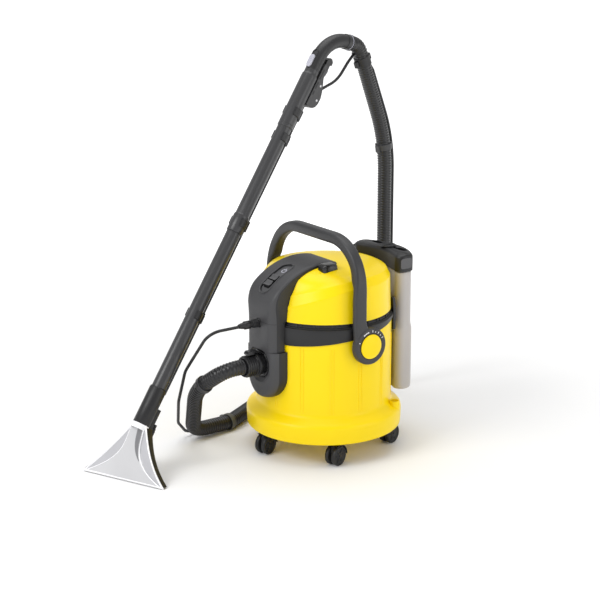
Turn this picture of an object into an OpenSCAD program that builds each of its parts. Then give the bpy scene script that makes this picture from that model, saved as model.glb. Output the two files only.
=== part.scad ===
// Spray-extraction carpet cleaner: a wheeled tub with a lift-off motor head, a clean-water
// tank at the back, a carrying handle, and a wand with a floor nozzle on a corrugated hose.
// Origin at the centre of the sump's flat underside, on the tub's axis, +Z up, hose port
// towards -Y, tank towards +Y. Heights in the modules are above the floor.

/* [Tub] */
// Outer radius of the flared foot ring
foot_r = 191; // [188:1:193]
// Height of the foot ring's lower edge above the floor
foot_z = 58; // [58:1:60]
// Outer radius of the tub wall
wall_r = 166; // [165:0.5:167]
// Top edge of the tub wall
wall_top = 332; // [328:1:333]
// Thickness of the moulded walls
wall_t = 3; // [2.5:0.5:3.5]
// Centre height of the suction port
port_z = 239; // [235:1:242]

/* [Casters] */
// Radius of the circle of swivel stems
stem_ring_r = 158; // [156:1:160]
// Radius of a caster wheel
caster_r = 24.5; // [23:0.5:24.5]
// Distance from the swivel axis back to the wheel axle
caster_trail = 10; // [8:1:12]
// Radius of the swivel stem
stem_r = 5; // [4:0.5:5.5]
// Radius of the wheel axle
axle_r = 3; // [2.5:0.5:3.5]

/* [Head] */
// Outer radius of the yellow hood's skirt
hood_r = 163; // [161:1:164]
// Lower edge of the hood
hood_z = 350; // [350:1:351]
// Half width of the front cover
cover_half = 57; // [55:1:59]
// How far the front cover reaches forward of the tub's axis
cover_reach = 195; // [193:1:197]

/* [Carry handle] */
// Height of the handle's pivot axis
pivot_z = 294; // [292:1:296]
// Outer half width of the handle
handle_half = 187.5; // [186:0.5:190]
// Top of the handle's grip bar
handle_top = 553; // [550:1:556]
// Radius of the round lobes at the pivots
lobe_r = 45; // [42:1:46]

/* [Wand] */
// Angle of the suction tubes above the floor
wand_angle = 53.2; // [52:0.1:54]
// Outer radius of the suction tubes
tube_r = 18; // [17.5:0.5:18]
// Width of the nozzle's mouth
mouth_w = 236; // [225:1:240]
// Radius of the bend in the grip tube
grip_bend_r = 92; // [88:1:96]

/* [Hoses] */
// Outer radius of the suction hose
hose_r = 19; // [17:0.5:19]
// Outer radius of the spray hose
spray_r = 3.75; // [3:0.25:4]

/* [Hidden] */
$fn = 64;

yellow = "gold";
charcoal = "dimgray";
black = [0.13, 0.13, 0.14];
grey = "gray";
steel = "silver";

run_gap = 0.05;      // radial gap of a shaft in its bore
fit_gap = 0.3;       // gap between neighbouring mouldings

rim_r = wall_r + 2.5;
rim_top = 338;
cover_floor = 276.5;             // seam between the front cover and the inlet housing
rim_tilt = 7.4;                  // the rim's lower edge rises towards the back
floor_z = foot_z + 34;           // underside of the tub's floor
sump_z = foot_z + 4;             // flat underside of the sump
well_r = 100;
stem_angles = [-96, -24, 48, 120, 192];      // swivel stems, degrees from +X
caster_turns = [16.3, 16.3, 196.3, 196.3, 16.3];

// ---------------------------------------------------------------- helpers

// Moves a sub-part from its height above the floor to the origin at the sump's underside
module placed() {
    translate([0, 0, -sump_z]) children();
}

// Extrudes a (Y, Z) outline along X, centred
module along_x(width) {
    rotate([90, 0, 90]) translate([0, 0, -width / 2]) linear_extrude(width) children();
}

// Extrudes an (X, Z) outline along Y, from y0 to y1
module along_y(y0, y1) {
    translate([0, y1, 0]) rotate([90, 0, 0]) linear_extrude(y1 - y0) children();
}

// Rectangle with round corners
module round_rect(w, h, r) {
    square([w, h - 2 * r], center = true);
    square([w - 2 * r, h], center = true);
    for (x = [-1, 1], y = [-1, 1])
        translate([x * (w / 2 - r), y * (h / 2 - r)]) circle(r, $fn = 32);
}

// Block with round vertical corners
module round_block(w, d, h, r) {
    linear_extrude(h) round_rect(w, d, r);
}

module ring(r_out, r_in, h) {
    difference() {
        cylinder(r = r_out, h = h);
        translate([0, 0, -1]) cylinder(r = r_in, h = h + 2);
    }
}

function unit(v) = v / norm(v);

// Stations [point, tangent] along a path of [corner, bend radius] pairs
function stations(path, steps) = let (last = len(path) - 1) [
    [path[0][0], unit(path[1][0] - path[0][0])],
    for (i = [1 : last - 1])
        let (p = path[i][0], r = path[i][1],
             a = unit(p - path[i - 1][0]), b = unit(path[i + 1][0] - p),
             turn = acos(a * b), side = unit(b - a * (a * b)),
             centre = p - a * r * tan(turn / 2) + side * r)
        for (k = [0 : steps])
            let (w = turn * k / steps)
            [centre - side * r * cos(w) + a * r * sin(w), a * cos(w) + side * sin(w)],
    [path[last][0], unit(path[last][0] - path[last - 1][0])]];

// Cross directions carried along the stations without twist
function carried(st, start) = [
    for (i = 0, n = unit(start - st[0][1] * (start * st[0][1])); i < len(st);
         i = i + 1, n = i < len(st) ? unit(n - st[i][1] * (n * st[i][1])) : n) n];

// Closed tube of the given radius along a path
module swept_tube(path, radius, sides, steps) {
    st = stations(path, steps);
    across = carried(st, [1, 0, 0]);
    count = len(st);
    points = [for (i = [0 : count - 1], j = [0 : sides - 1])
        let (w = 360 * j / sides)
        st[i][0] + radius * (cos(w) * across[i] + sin(w) * cross(st[i][1], across[i]))];
    wall = [for (i = [0 : count - 2], j = [0 : sides - 1])
        let (k = (j + 1) % sides)
        [i * sides + j, (i + 1) * sides + j, (i + 1) * sides + k, i * sides + k]];
    polyhedron(points, concat(
        [[for (j = [0 : sides - 1]) j]],
        [[for (j = [sides - 1 : -1 : 0]) (count - 1) * sides + j]],
        wall));
}

// ---------------------------------------------------------------- tub

module container() {
    slope_top = 118;
    color(yellow) difference() {
        union() {
            rotate_extrude($fn = 96) polygon([
                [0, sump_z], [well_r, sump_z], [well_r, floor_z], [wall_r, floor_z],
                [wall_r, slope_top - 4], [foot_r - 3, 102], [foot_r - 3, foot_z],
                [foot_r, foot_z], [foot_r + 1, 100], [foot_r - 3, 106],
                [wall_r + 2, slope_top], [wall_r, slope_top + 5], [wall_r - 1, wall_top],
                [wall_r - 1 - wall_t, wall_top], [wall_r - wall_t, floor_z + wall_t],
                [well_r - wall_t, floor_z + wall_t], [well_r - wall_t, sump_z + wall_t],
                [0, sump_z + wall_t]]);
            for (a = stem_angles)
                rotate(a) translate([stem_ring_r, 0, foot_z + 2]) cylinder(r = 11, h = 33);
            accessory_boss();
        }
        for (a = stem_angles)
            rotate(a) translate([stem_ring_r, 0, foot_z + 1]) cylinder(r = stem_r + run_gap, h = 30);
        translate([0, -140, port_z]) rotate([90, 0, 0]) cylinder(r = 27.2, h = 60);
        rotate(socket_angle) translate([socket_r, 0, 104]) cylinder(r = 10, h = 40);
    }
}

socket_angle = 38;               // accessory socket on the foot ring, degrees from +X
socket_r = 179.8;
module accessory_boss() {
    rotate(socket_angle) translate([socket_r, 0, 98]) cylinder(r = 12.8, h = 26);
}

module container_rim() {
    color(black) {
        difference() {
            translate([0, 0, 285]) ring(rim_r, wall_r + 0.2, rim_top - 285);
            translate([0, 0, 314]) rotate([rim_tilt, 0, 0]) translate([0, 0, -80])
                cylinder(r = 260, h = 80);
        }
        rotate_extrude($fn = 96) polygon([
            [wall_r + 0.5, wall_top + 0.5], [wall_r - 6, wall_top + 0.5],
            [wall_r - 6, rim_top], [wall_r + 0.5, rim_top]]);
        for (side = [-1, 1]) {
            difference() {
                translate([side * 160, 0, pivot_z]) rotate([0, side * 90, 0])
                    cylinder(r = 26, h = 9);
                cylinder(r = wall_r + 0.2, h = 400);
            }
            translate([side * 167.5, 0, pivot_z]) rotate([0, side * 90, 0])
                cylinder(r = 8, h = 17);
        }
    }
}

module rim_gasket() {
    color(black) translate([0, 0, rim_top]) ring(165, 160.5, 3);
}

// Plan of the front column, set in by t
module column_plan(t, half, back) {
    corner = 25;
    translate([-(half - t), -cover_reach + corner]) square([2 * (half - t), back + cover_reach - corner - t]);
    translate([-(half - corner), -cover_reach + t]) square([2 * (half - corner), corner]);
    for (side = [-1, 1])
        translate([side * (half - corner), -cover_reach + corner]) circle(corner - t);
}

// Front view of the inlet housing, round at the bottom, set in by t
module housing_front(t) {
    half = 62;
    translate([0, 152 + half]) circle(half - t);
    translate([-(half - t), 152 + half]) square([2 * (half - t), cover_floor - fit_gap - 152 - half]);
}

module inlet_housing() {
    t = 3.5;
    color(charcoal) difference() {
        intersection() {
            linear_extrude(300) column_plan(0, 62, -100);
            along_y(-220, -100) housing_front(0);
        }
        intersection() {
            linear_extrude(cover_floor - 5) column_plan(t, 62, -90);
            along_y(-220, -90) housing_front(t);
        }
        cylinder(r = rim_r + 0.5, h = 400);
        translate([0, -150, port_z]) rotate([90, 0, 0]) cylinder(r = 33, h = 60);
        translate([0, -cover_reach + 2, port_z]) rotate([90, 0, 0]) cylinder(r1 = 33, r2 = 43, h = 6);
        // slot for the socket's catch
        translate([-catch_w / 2 - fit_gap, -210, port_z + 20])
            cube([catch_w + 2 * fit_gap, 50, cover_floor - fit_gap - port_z - 20]);
    }
}

catch_w = 15;
module inlet_socket() {
    color(black) translate([0, -130, port_z]) rotate([90, 0, 0]) difference() {
        union() {
            cylinder(r = 27, h = 57);
            translate([0, 0, 39.5]) cylinder(r = 32.5, h = 20.5);
            // catch that the hose cuff clicks into
            translate([-catch_w / 2, 26.4, 50]) cube([catch_w, 10.1, 18]);
        }
        translate([0, 0, -1]) cylinder(r = 21.05, h = 80);
    }
}

// Cradle for the clean-water tank on the back of the tub
module tank_bracket() {
    color(black) {
        translate([0, 0, 300]) intersection() {
            ring(rim_r + 6, rim_r + 0.3, 34);
            translate([-100, 100, 0]) cube([200, 120, 34]);
        }
        difference() {
            translate([90, 132, 292]) cube([16, 9, 82]);
            translate([96, 120, 300]) cube([4, 40, 40]);
            cylinder(r = rim_r + 0.3, h = 400);
        }
    }
}

// ---------------------------------------------------------------- casters

module at_caster(i) {
    a = stem_angles[i];
    translate([stem_ring_r * cos(a), stem_ring_r * sin(a), 0]) rotate(caster_turns[i]) children();
}

module caster_fork(i) {
    color(black) at_caster(i) {
        difference() {
            union() {
                along_x(8) {
                    translate([-caster_trail, caster_r]) circle(15);
                    translate([-caster_trail, caster_r]) square([caster_trail + 8, 30]);
                }
                translate([0, 0, 50.5]) cylinder(r = 9, h = 6.5);
                translate([0, 0, 50.5]) cylinder(r = stem_r, h = 35.5);
                // hood over the wheels
                along_x(31) intersection() {
                    translate([-caster_trail, caster_r]) difference() {
                        circle(28.5);
                        circle(26);
                    }
                    translate([-caster_trail - 12, caster_r]) square([45, 40]);
                }
            }
            translate([0, -caster_trail, caster_r]) rotate([0, 90, 0])
                cylinder(r = axle_r, h = 60, center = true);
        }
    }
}

module caster_axle(i) {
    color(steel) at_caster(i) translate([0, -caster_trail, caster_r]) rotate([0, 90, 0])
        cylinder(r = axle_r, h = 33, center = true);
}

module caster_wheels(i) {
    color(black) at_caster(i) translate([0, -caster_trail, caster_r]) rotate([0, 90, 0])
        for (side = [0, 1]) mirror([0, 0, side]) translate([0, 0, 4.6]) difference() {
            union() {
                cylinder(r = caster_r, h = 8.9);
                translate([0, 0, 8.9]) cylinder(r1 = caster_r, r2 = caster_r - 2, h = 1.5);
            }
            translate([0, 0, -1]) cylinder(r = axle_r + run_gap, h = 20);
            translate([0, 0, 9.4]) ring(19, 8, 2);
        }
}

// ---------------------------------------------------------------- head

module head_base() {
    color(black) difference() {
        union() {
            translate([0, 0, 341]) cylinder(r = 161.5, h = 4);
            translate([0, 0, 341]) ring(159.6, 155, 13);
            translate([0, 0, 326]) ring(158, 155, 16);
            for (a = [0 : 15 : 345])
                rotate(a) translate([157, -1.2, 341]) cube([6, 2.4, 8.6]);
        }
        translate([0, 0, 320]) cylinder(r = 29, h = 40);
        translate([0, 0, 320]) linear_extrude(60) column_plan(-fit_gap, cover_half, -157);
    }
}

// Solid dome of the hood, set in by t: an upright skirt under a crown that leans forward
crown_lean = 6;
module dome(t) {
    hinge_y = 100;
    intersection() {
        translate([0, 0, hood_z - t / 2]) cylinder(r1 = hood_r - t, r2 = hood_r - 4 - t, h = 150, $fn = 96);
        translate([0, hinge_y, -t]) rotate([crown_lean, 0, 0]) translate([0, -hinge_y, 0])
            rotate_extrude($fn = 96) polygon([
                [0, 250], [200, 250], [200, 405], [162, 438], [151, 457], [110, 471], [60, 478], [0, 480]]);
    }
}

module motor_hood() {
    color(yellow) difference() {
        dome(0);
        dome(3);
        translate([-cover_half - fit_gap, -200, hood_z - 5]) cube([2 * (cover_half + fit_gap), 195.5, 200]);
        latch_pocket();
    }
}

// Side outline of the front cover: a vertical face, a shoulder and a long shallow crown
shoulder_r = 75;
crown_r = 190;
crown_y = -45;
crown_z = 288;
shoulder_z = crown_z + sqrt(pow(crown_r - shoulder_r, 2) - pow(cover_reach - shoulder_r + crown_y, 2));
meet_angle = atan2(shoulder_z - crown_z, -(cover_reach - shoulder_r + crown_y));
function cover_top(y) = crown_z + sqrt(max(0, crown_r * crown_r - pow(y - crown_y, 2)));

module cover_side(t) {
    steps = 8;
    polygon(concat(
        [[-cover_reach + t, cover_floor - t]],
        [for (k = [0 : steps]) let (w = 180 + (meet_angle - 180) * k / steps)
            [-cover_reach + shoulder_r + (shoulder_r - t) * cos(w), shoulder_z + (shoulder_r - t) * sin(w)]],
        [for (k = [1 : 2 * steps]) let (w = meet_angle + (76 - meet_angle) * k / (2 * steps))
            [crown_y + (crown_r - t) * cos(w), crown_z + (crown_r - t) * sin(w)]],
        [[5, cover_floor - t]]));
}

module front_cover() {
    t = 4;
    depth = 16;
    color(charcoal) difference() {
        intersection() {
            linear_extrude(500) column_plan(0, cover_half, -5);
            along_x(140) cover_side(0);
        }
        intersection() {
            linear_extrude(500) column_plan(t, cover_half, 10);
            along_x(140) cover_side(t);
        }
        cylinder(r = rim_r + 0.5, h = hood_z);
        intersection() {
            translate([0, 0, hood_z - 0.5]) linear_extrude(200) square(400, center = true);
            along_x(140) cover_side(depth);
        }
        translate([0, -190, spray_z]) rotate([90, 0, 0]) cylinder(r = 12.2, h = 20);
        latch_pocket();
        on_switch_slope() translate([0, 0, -12]) linear_extrude(24)
            round_rect(bezel_w + 2 * fit_gap, bezel_len + 2 * fit_gap, 16.3);
    }
}

spray_z = 342;
switch_y = -145.7;
switch_tilt = 90 - acos((switch_y - crown_y) / crown_r);
// Frame on the slope of the front cover: local Z out of the face, local Y up the slope
module on_switch_slope() {
    translate([0, switch_y, cover_top(switch_y)]) rotate([-switch_tilt, 0, 0]) children();
}

bezel_w = 36;
bezel_len = 78;
rocker_places = [-24, -4];       // centres of the two keys up the slope
rocker_pin_z = -10.1;
rocker_pin_r = 1.2;
module switch_bezel() {
    slot = [26, 19.4];
    color(grey) on_switch_slope() difference() {
        translate([0, 0, -11.6]) linear_extrude(7.1) round_rect(bezel_w, bezel_len, 16);
        translate([0, 0, -8.6]) linear_extrude(10) round_rect(bezel_w - 4, bezel_len - 4, 14);
        for (y = rocker_places) {
            translate([0, y, -15]) linear_extrude(12) square(slot, center = true);
            translate([0, y, rocker_pin_z]) rotate([0, 90, 0])
                cylinder(r = rocker_pin_r + run_gap, h = 31, center = true);
        }
    }
}

// Rocker key on a pin across its slot, dished so that either end can be pressed
module rocker(y) {
    color(black) on_switch_slope() translate([0, y, 0]) {
        along_x(25) polygon([[-8.8, -10.8], [8.8, -10.8], [8.8, 1.5], [0, -0.5], [-8.8, 2.5]]);
        translate([0, 0, rocker_pin_z]) rotate([0, 90, 0])
            cylinder(r = rocker_pin_r, h = 30, center = true);
    }
}

latch_at = [74, -45];
module latch_pocket() {
    translate([latch_at[0] - 15.5, latch_at[1] - 21.5, 452]) cube([31, 43, 60]);
}
module top_latch() {
    color(black) translate([latch_at[0], latch_at[1], 0]) {
        translate([0, 0, 457]) round_block(30, 42, 21, 7.5);
        translate([0, 0, 478]) linear_extrude(2, scale = 0.86) round_rect(30, 42, 7.5);
    }
}

module filter_cassette() {
    color("white") translate([0, 0, 345.2]) {
        difference() {
            translate([-58, -43, 0]) cube([116, 86, 24]);
            translate([-53, -38, -1]) cube([106, 76, 22]);
            translate([0, 0, 10]) cylinder(r = 30, h = 20);
        }
        for (k = [0 : 8]) translate([-50 + 12 * k, -38.5, 5]) cube([2, 77, 12]);
    }
}

shaft_r = 4;
module turbine_motor() {
    color(steel) difference() {
        union() {
            translate([0, 0, 370]) cylinder(r = 66, h = 32);
            translate([0, 0, 402]) cylinder(r = 42, h = 46);
        }
        translate([0, 0, 373]) cylinder(r = 62, h = 26);
        translate([0, 0, 369]) cylinder(r = 24, h = 10);
        translate([0, 0, 390]) cylinder(r = shaft_r + run_gap, h = 45);
    }
}

module fan_impeller() {
    color(steel) {
        translate([0, 0, 377]) {
            cylinder(r = 58, h = 2);
            cylinder(r = 14, h = 16);
            translate([0, 0, 14]) ring(58, 12, 2);
            for (a = [0 : 40 : 320]) rotate(a) translate([12, -1, 0]) cube([44, 2, 15.5]);
        }
        translate([0, 0, 385]) cylinder(r = shaft_r, h = 48);
    }
}

module float_cage() {
    color(black) difference() {
        union() {
            translate([0, 0, 262]) ring(24, 21, 79);
            translate([0, 0, 262]) cylinder(r = 24, h = 3);
            translate([0, 0, 337]) ring(34, 21, 3.8);
        }
        for (a = [0, 90]) rotate(a) translate([-40, -9, 270]) cube([80, 18, 55]);
    }
}

module float_ball() {
    color("ivory") translate([0, 0, 284]) {
        sphere(r = 18.5);
        cylinder(r = 5, h = 24);
    }
}

module pump_body() {
    color(steel) translate([-95, 40, 366]) rotate([-90, 0, 0]) {
        translate([0, 0, -45]) cylinder(r = 19, h = 60);
        translate([0, 0, 15]) cylinder(r = 12, h = 30);
        translate([0, 0, -57]) cylinder(r = 6, h = 13);
    }
}

module spray_coupling() {
    color(black) translate([0, -181, spray_z]) rotate([90, 0, 0]) difference() {
        union() {
            cylinder(r = 12, h = 17);
            translate([0, 0, 14.2]) cylinder(r = 15, h = 3);
        }
        translate([0, 0, 3]) cylinder(r = 7.6, h = 20);
    }
}

module spray_plug() {
    color(black) translate([0, -186, spray_z]) rotate([90, 0, 0]) {
        cylinder(r = 7.3, h = 14);
        translate([0, 0, 12.4]) cylinder(r = 10.5, h = 16);
        translate([0, 0, 28.4]) cylinder(r = 8, h = 6);
        translate([0, 0, 34.4]) cylinder(r = 10, h = 16);
        translate([0, 0, 50.4]) cylinder(r1 = 8, r2 = 5, h = 16);
    }
}

// ---------------------------------------------------------------- carry handle

// Front view of the handle's bow, set in by t
module bow(t) {
    corner = 115;
    half = handle_half - 2;
    translate([-half + t, pivot_z]) square([2 * (half - t), handle_top - corner - pivot_z]);
    translate([corner - half, pivot_z]) square([2 * (half - corner), handle_top - t - pivot_z]);
    for (side = [-1, 1])
        translate([side * (half - corner), handle_top - corner]) circle(corner - t);
}

lobe_in = 170;                   // inner face of the handle's lobes
bar_front = -38;
bar_back = -10;
bar_thick = 26;
module carry_handle() {
    color(charcoal) difference() {
        union() {
            intersection() {
                along_y(bar_front, bar_back) difference() {
                    bow(0);
                    bow(bar_thick);
                }
                translate([-200, -60, pivot_z + 60]) cube([400, 100, 300]);
            }
            for (side = [-1, 1]) {
                translate([side * lobe_in, 0, pivot_z]) rotate([0, side * 90, 0])
                    cylinder(r = lobe_r, h = handle_half - lobe_in);
                translate([side * (lobe_in + handle_half) / 2, 0, pivot_z])
                    along_x(handle_half - lobe_in) polygon([
                        [bar_front - 3, 10], [bar_front, 120], [bar_back, 120], [bar_back + 4, 50],
                        [5, 25]]);
            }
        }
        // room for the hood and the rim
        translate([0, 0, pivot_z - 60]) cylinder(r = rim_r + 1.2, h = 224);
        for (side = [-1, 1]) {
            translate([side * 160, 0, pivot_z]) rotate([0, side * 90, 0]) cylinder(r = 8 + run_gap, h = 40);
            translate([side * 180, 0, pivot_z]) rotate([0, side * 90, 0]) cylinder(r = 16, h = 20);
        }
    }
}

module handle_caps() {
    dome_r = 90;
    rise = 4.5;
    color(yellow) for (side = [-1, 1])
        translate([side * handle_half, 0, pivot_z]) rotate([0, side * 90, 0]) intersection() {
            cylinder(r = 30, h = rise + 3);
            translate([0, 0, rise + 2 - dome_r]) sphere(r = dome_r, $fn = 96);
        }
}

// ---------------------------------------------------------------- clean-water tank

tank_back = 230;
// Plan of the tank, set in by t
module tank_plan(t) {
    intersection() {
        difference() {
            translate([0, 232 - 160]) circle(160 - t, $fn = 96);
            circle(rim_r + 8 + t, $fn = 96);
        }
        translate([0, 190]) round_rect(194 - 2 * t, 144 - 2 * t, 20);
    }
}

tank_z = 124;
tank_step = 287;                 // the upper part is set in above this height
valve_y = 193;
// Outside of the tank, set in by t: its lower back edge slopes in
module tank_form(t) {
    difference() {
        union() {
            translate([0, 0, tank_z + t]) linear_extrude(tank_step - tank_z + 1 - 2 * t) tank_plan(t);
            translate([0, 0, tank_step - t]) linear_extrude(142 + t) tank_plan(3 + t);
        }
        translate([-150, 207 - t, tank_z]) rotate([-30, 0, 0]) translate([0, 0, -60]) cube([300, 90, 160]);
    }
}

module water_tank() {
    color("gainsboro") difference() {
        tank_form(0);
        tank_form(2.5);
        translate([0, 0, 420]) linear_extrude(20) tank_plan(5.5);
        translate([0, valve_y, 110]) cylinder(r = 8, h = 30);
        // clearance for the hook at the side
        translate([88, 126, 286]) cube([22, 22, 160]);
    }
}

module tank_grip() {
    color(black) translate([0, 0, 429.3]) difference() {
        union() {
            linear_extrude(40) tank_plan(0);
            translate([0, 0, 40]) linear_extrude(4) tank_plan(5);
        }
        translate([0, 0, -1]) linear_extrude(34) tank_plan(4);
        translate([0, 198, -5]) cylinder(r = 15.2, h = 60);
        for (side = [-1, 1]) translate([side * 48, 203, 20]) round_block(34, 16, 60, 7);
    }
}

module tank_lid() {
    color(black) translate([0, 198, 473.6]) {
        cylinder(r = 20, h = 4);
        translate([-7, -28, 0.6]) cube([14, 12, 2.8]);
        translate([0, -28, 2]) rotate([0, 90, 0]) cylinder(r = 2, h = 14, center = true);
        translate([0, 0, -4]) cylinder(r = 14.8, h = 5);
    }
}

module tank_valve() {
    color(black) translate([0, valve_y, 121]) {
        cylinder(r = 7.8, h = 12);
        translate([0, 0, 5.6]) cylinder(r = 12, h = 3);
        translate([0, 0, 8]) cylinder(r = 7, h = 12);
    }
}

// ---------------------------------------------------------------- wand

wand_turn = 10;                  // the wand's vertical plane is turned about Z
wand_off = -159.6;               // its distance from the tub's axis
wand_foot = [-340.8, 279.8];     // a point on the tube axis, (along, up)
seam_s = 619;                    // distance from that point to the grip tube's lower end
bend_s = 808;                    // distance to the start of the grip's bend
grip_turn = 68.2;
collar_len = 12;                 // straight collar at the grip's end
swivel_r = 16.5;                 // spigot of the hose swivel that turns in the collar

// Frame of the wand's vertical plane: X across, Y along the floor, Z up
module wand_plane() {
    rotate(wand_turn) translate([wand_off, 0, 0]) children();
}

// Frame on the tube axis at distance s: Z along the tube, Y towards the trigger side
module on_wand(s) {
    wand_plane()
        translate([0, wand_foot[0] + s * cos(wand_angle), wand_foot[1] + s * sin(wand_angle)])
        rotate([wand_angle - 90, 0, 0]) children();
}

module grip_path(r) {
    translate([0, 0, seam_s]) cylinder(r = r, h = bend_s - seam_s);
    translate([0, grip_bend_r, bend_s]) rotate([90, 0, -90])
        rotate_extrude(angle = grip_turn) translate([grip_bend_r, 0]) circle(r);
}

// Frame at the end of the grip's bend, Z along the tube
module at_grip_end() {
    translate([0, grip_bend_r, bend_s]) rotate([90, 0, -90]) rotate(grip_turn)
        translate([grip_bend_r, 0, 0]) rotate([-90, 0, 0]) children();
}

module grip_tube() {
    color(charcoal) on_wand(0) difference() {
        union() {
            grip_path(tube_r);
            translate([0, 0, seam_s - 8]) cylinder(r = 20, h = 150);
            at_grip_end() translate([0, 0, -2]) cylinder(r = tube_r + 1.5, h = 2 + collar_len);
        }
        grip_path(16);
        translate([0, 0, seam_s - 20]) cylinder(r = 18.2, h = 60);
        at_grip_end() translate([0, 0, -1]) cylinder(r = swivel_r + run_gap, h = collar_len + 5);
        // seat of the air slider
        translate([-8, -30, 772]) cube([16, 13.2, 58]);
        translate([-4, -25, 788]) cube([8, 14, 22]);
    }
}

module air_slider() {
    color("lavender") on_wand(0) difference() {
        translate([-7.5, -23.5, 774]) cube([15, 6.5, 34]);
        for (k = [0 : 4]) translate([-6, -24.5, 780 + 5 * k]) cube([12, 1.8, 2]);
    }
}

module valve_body() {
    half = 13;
    color(grey) on_wand(0) {
        difference() {
            along_x(2 * half) polygon([
                [21, 692], [24, 690], [44, 692], [55, 705], [56, 732], [45, 758], [36, 772],
                [33, 790], [30, 806], [19, 806], [19, 770], [21, 765]]);
            cylinder(r = 20.3, h = 771);
            cylinder(r = 18.3, h = 900);
            // slot that the trigger swings in
            translate([-7, 24.5, 762]) cube([14, 40, 60]);
            translate([0, 30, 756]) rotate([0, 90, 0]) cylinder(r = 1, h = 10, center = true);
        }
        // upper bracket that hugs the grip
        difference() {
            translate([-half, 14, 796]) cube([2 * half, 10, 12]);
            cylinder(r = 18.3, h = 900);
        }
    }
}

trigger_pivot = [30, 812];       // (towards the trigger side, along the tube)
module spray_trigger() {
    color(grey) on_wand(0) difference() {
        along_x(12) polygon([
            [26, 818], [34, 820], [40, 812], [46, 798], [44, 784], [39, 776], [33, 775],
            [30, 786], [27, 800]]);
        translate([0, trigger_pivot[0], trigger_pivot[1]]) rotate([0, 90, 0])
            cylinder(r = 2.05, h = 40, center = true);
    }
}

module upper_tube() {
    color(charcoal) on_wand(0) difference() {
        union() {
            translate([0, 0, 322]) cylinder(r = tube_r, h = 330);
            translate([0, 0, 318]) cylinder(r = 20, h = 48);
        }
        translate([0, 0, 300]) cylinder(r = 16, h = 400);
        translate([0, 0, 300]) cylinder(r = 18.2, h = 56);
    }
}

module lower_tube() {
    color(charcoal) on_wand(0) difference() {
        translate([0, 0, -150]) cylinder(r = tube_r, h = 502);
        translate([0, 0, -160]) cylinder(r = 16, h = 520);
    }
}

clip_places = [95, 345, 585, 655];
module tube_clips() {
    color(black) on_wand(0) for (s = clip_places) {
        r = s > 600 || (s > 318 && s < 366) ? 20 : tube_r;
        translate([0, 0, s - 11]) {
            difference() {
                union() {
                    ring(r + 2.6, r + 0.2, 22);
                    translate([-6, r + 1, 0]) cube([12, pipe_h + 5 - r, 22]);
                }
                translate([0, pipe_h, -1]) cylinder(r = pipe_r + 0.15, h = 24);
                translate([-30, -30, -1]) cube([60, 18, 24]);
            }
        }
    }
}

pipe_r = 3.5;
pipe_h = 26.2;                   // distance of the rigid spray pipe from the tube axis
module spray_pipe() {
    color(black) on_wand(-108) translate([0, pipe_h, 0]) cylinder(r = pipe_r, h = 796);
}

// ---------------------------------------------------------------- nozzle

mouth_y = -514;
mouth_turn = 14;                 // the mouth is turned on the neck to lie along the sweep
mouth_z = 3;
neck_s = -204;                   // lower end of the neck that grips the tube

// Fan between the neck and the mouth: ends of half width w0 and w1, thickness t0 and t1,
// shifted back from the front face by b
module fan(w0, w1, t0, t1, shift, low) {
    neck_y = wand_foot[0] + (neck_s + 8) * cos(wand_angle);
    neck_z = wand_foot[1] + (neck_s + 8) * sin(wand_angle);
    hull() {
        translate([0, neck_y + shift, neck_z]) rotate([wand_angle - 90, 0, 0]) translate([0, 0, -1])
            linear_extrude(2) round_rect(2 * w0, t0, min(t0, w0) / 2.2);
        translate([0, mouth_y, low]) rotate(mouth_turn)
            translate([-w1, shift - 8, 0]) cube([2 * w1, t1, 2]);
    }
}

module nozzle_body() {
    color(black) {
        on_wand(neck_s) difference() {
            union() {
                cylinder(r = 21, h = 104);
                translate([-11, 12, 8]) cube([22, 22, 50]);
            }
            translate([0, 0, -1]) cylinder(r = 15.5, h = 110);
            translate([0, 0, 52]) cylinder(r = 18.2, h = 60);
            translate([0, pipe_h, 20]) cylinder(r = pipe_r + 0.15, h = 40);
        }
        wand_plane() difference() {
            fan(20, mouth_w / 2, 30, 22, 14, mouth_z);
            fan(16, mouth_w / 2 - 3, 22, 16, 7, mouth_z - 4);
        }
    }
}

module nozzle_cover() {
    color("whitesmoke") difference() {
        wand_plane() difference() {
            fan(20, mouth_w / 2, 14, 8, -4.5, mouth_z);
            fan(18, mouth_w / 2 - 2.5, 10, 6, -2, mouth_z - 4);
            fan(21, mouth_w / 2 + 0.6, 32, 24, 13.4, mouth_z - 1);
        }
        on_wand(neck_s - 1) cylinder(r = 21.3, h = 40);
    }
}

module spray_jet() {
    color(black) on_wand(neck_s - 6) translate([0, 44, 0]) {
        cylinder(r = 6, h = 20);
        translate([0, 0, 20]) cylinder(r = 4, h = 10);
    }
}

// ---------------------------------------------------------------- hoses

// Place in the wand's vertical plane as a point in the main frame
function in_wand_plane(along, up) =
    [wand_off * cos(wand_turn) - along * sin(wand_turn),
     wand_off * sin(wand_turn) + along * cos(wand_turn), up];

grip_end_h = grip_bend_r * (1 - cos(grip_turn));
grip_end_s = bend_s + grip_bend_r * sin(grip_turn);
end_angle = wand_angle - grip_turn;          // direction of the grip's end above the floor
grip_end = [wand_foot[0] + grip_end_s * cos(wand_angle) + grip_end_h * sin(wand_angle),
            wand_foot[1] + grip_end_s * sin(wand_angle) - grip_end_h * cos(wand_angle)];
function past_grip(d) = in_wand_plane(grip_end[0] + d * cos(end_angle), grip_end[1] + d * sin(end_angle));

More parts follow.
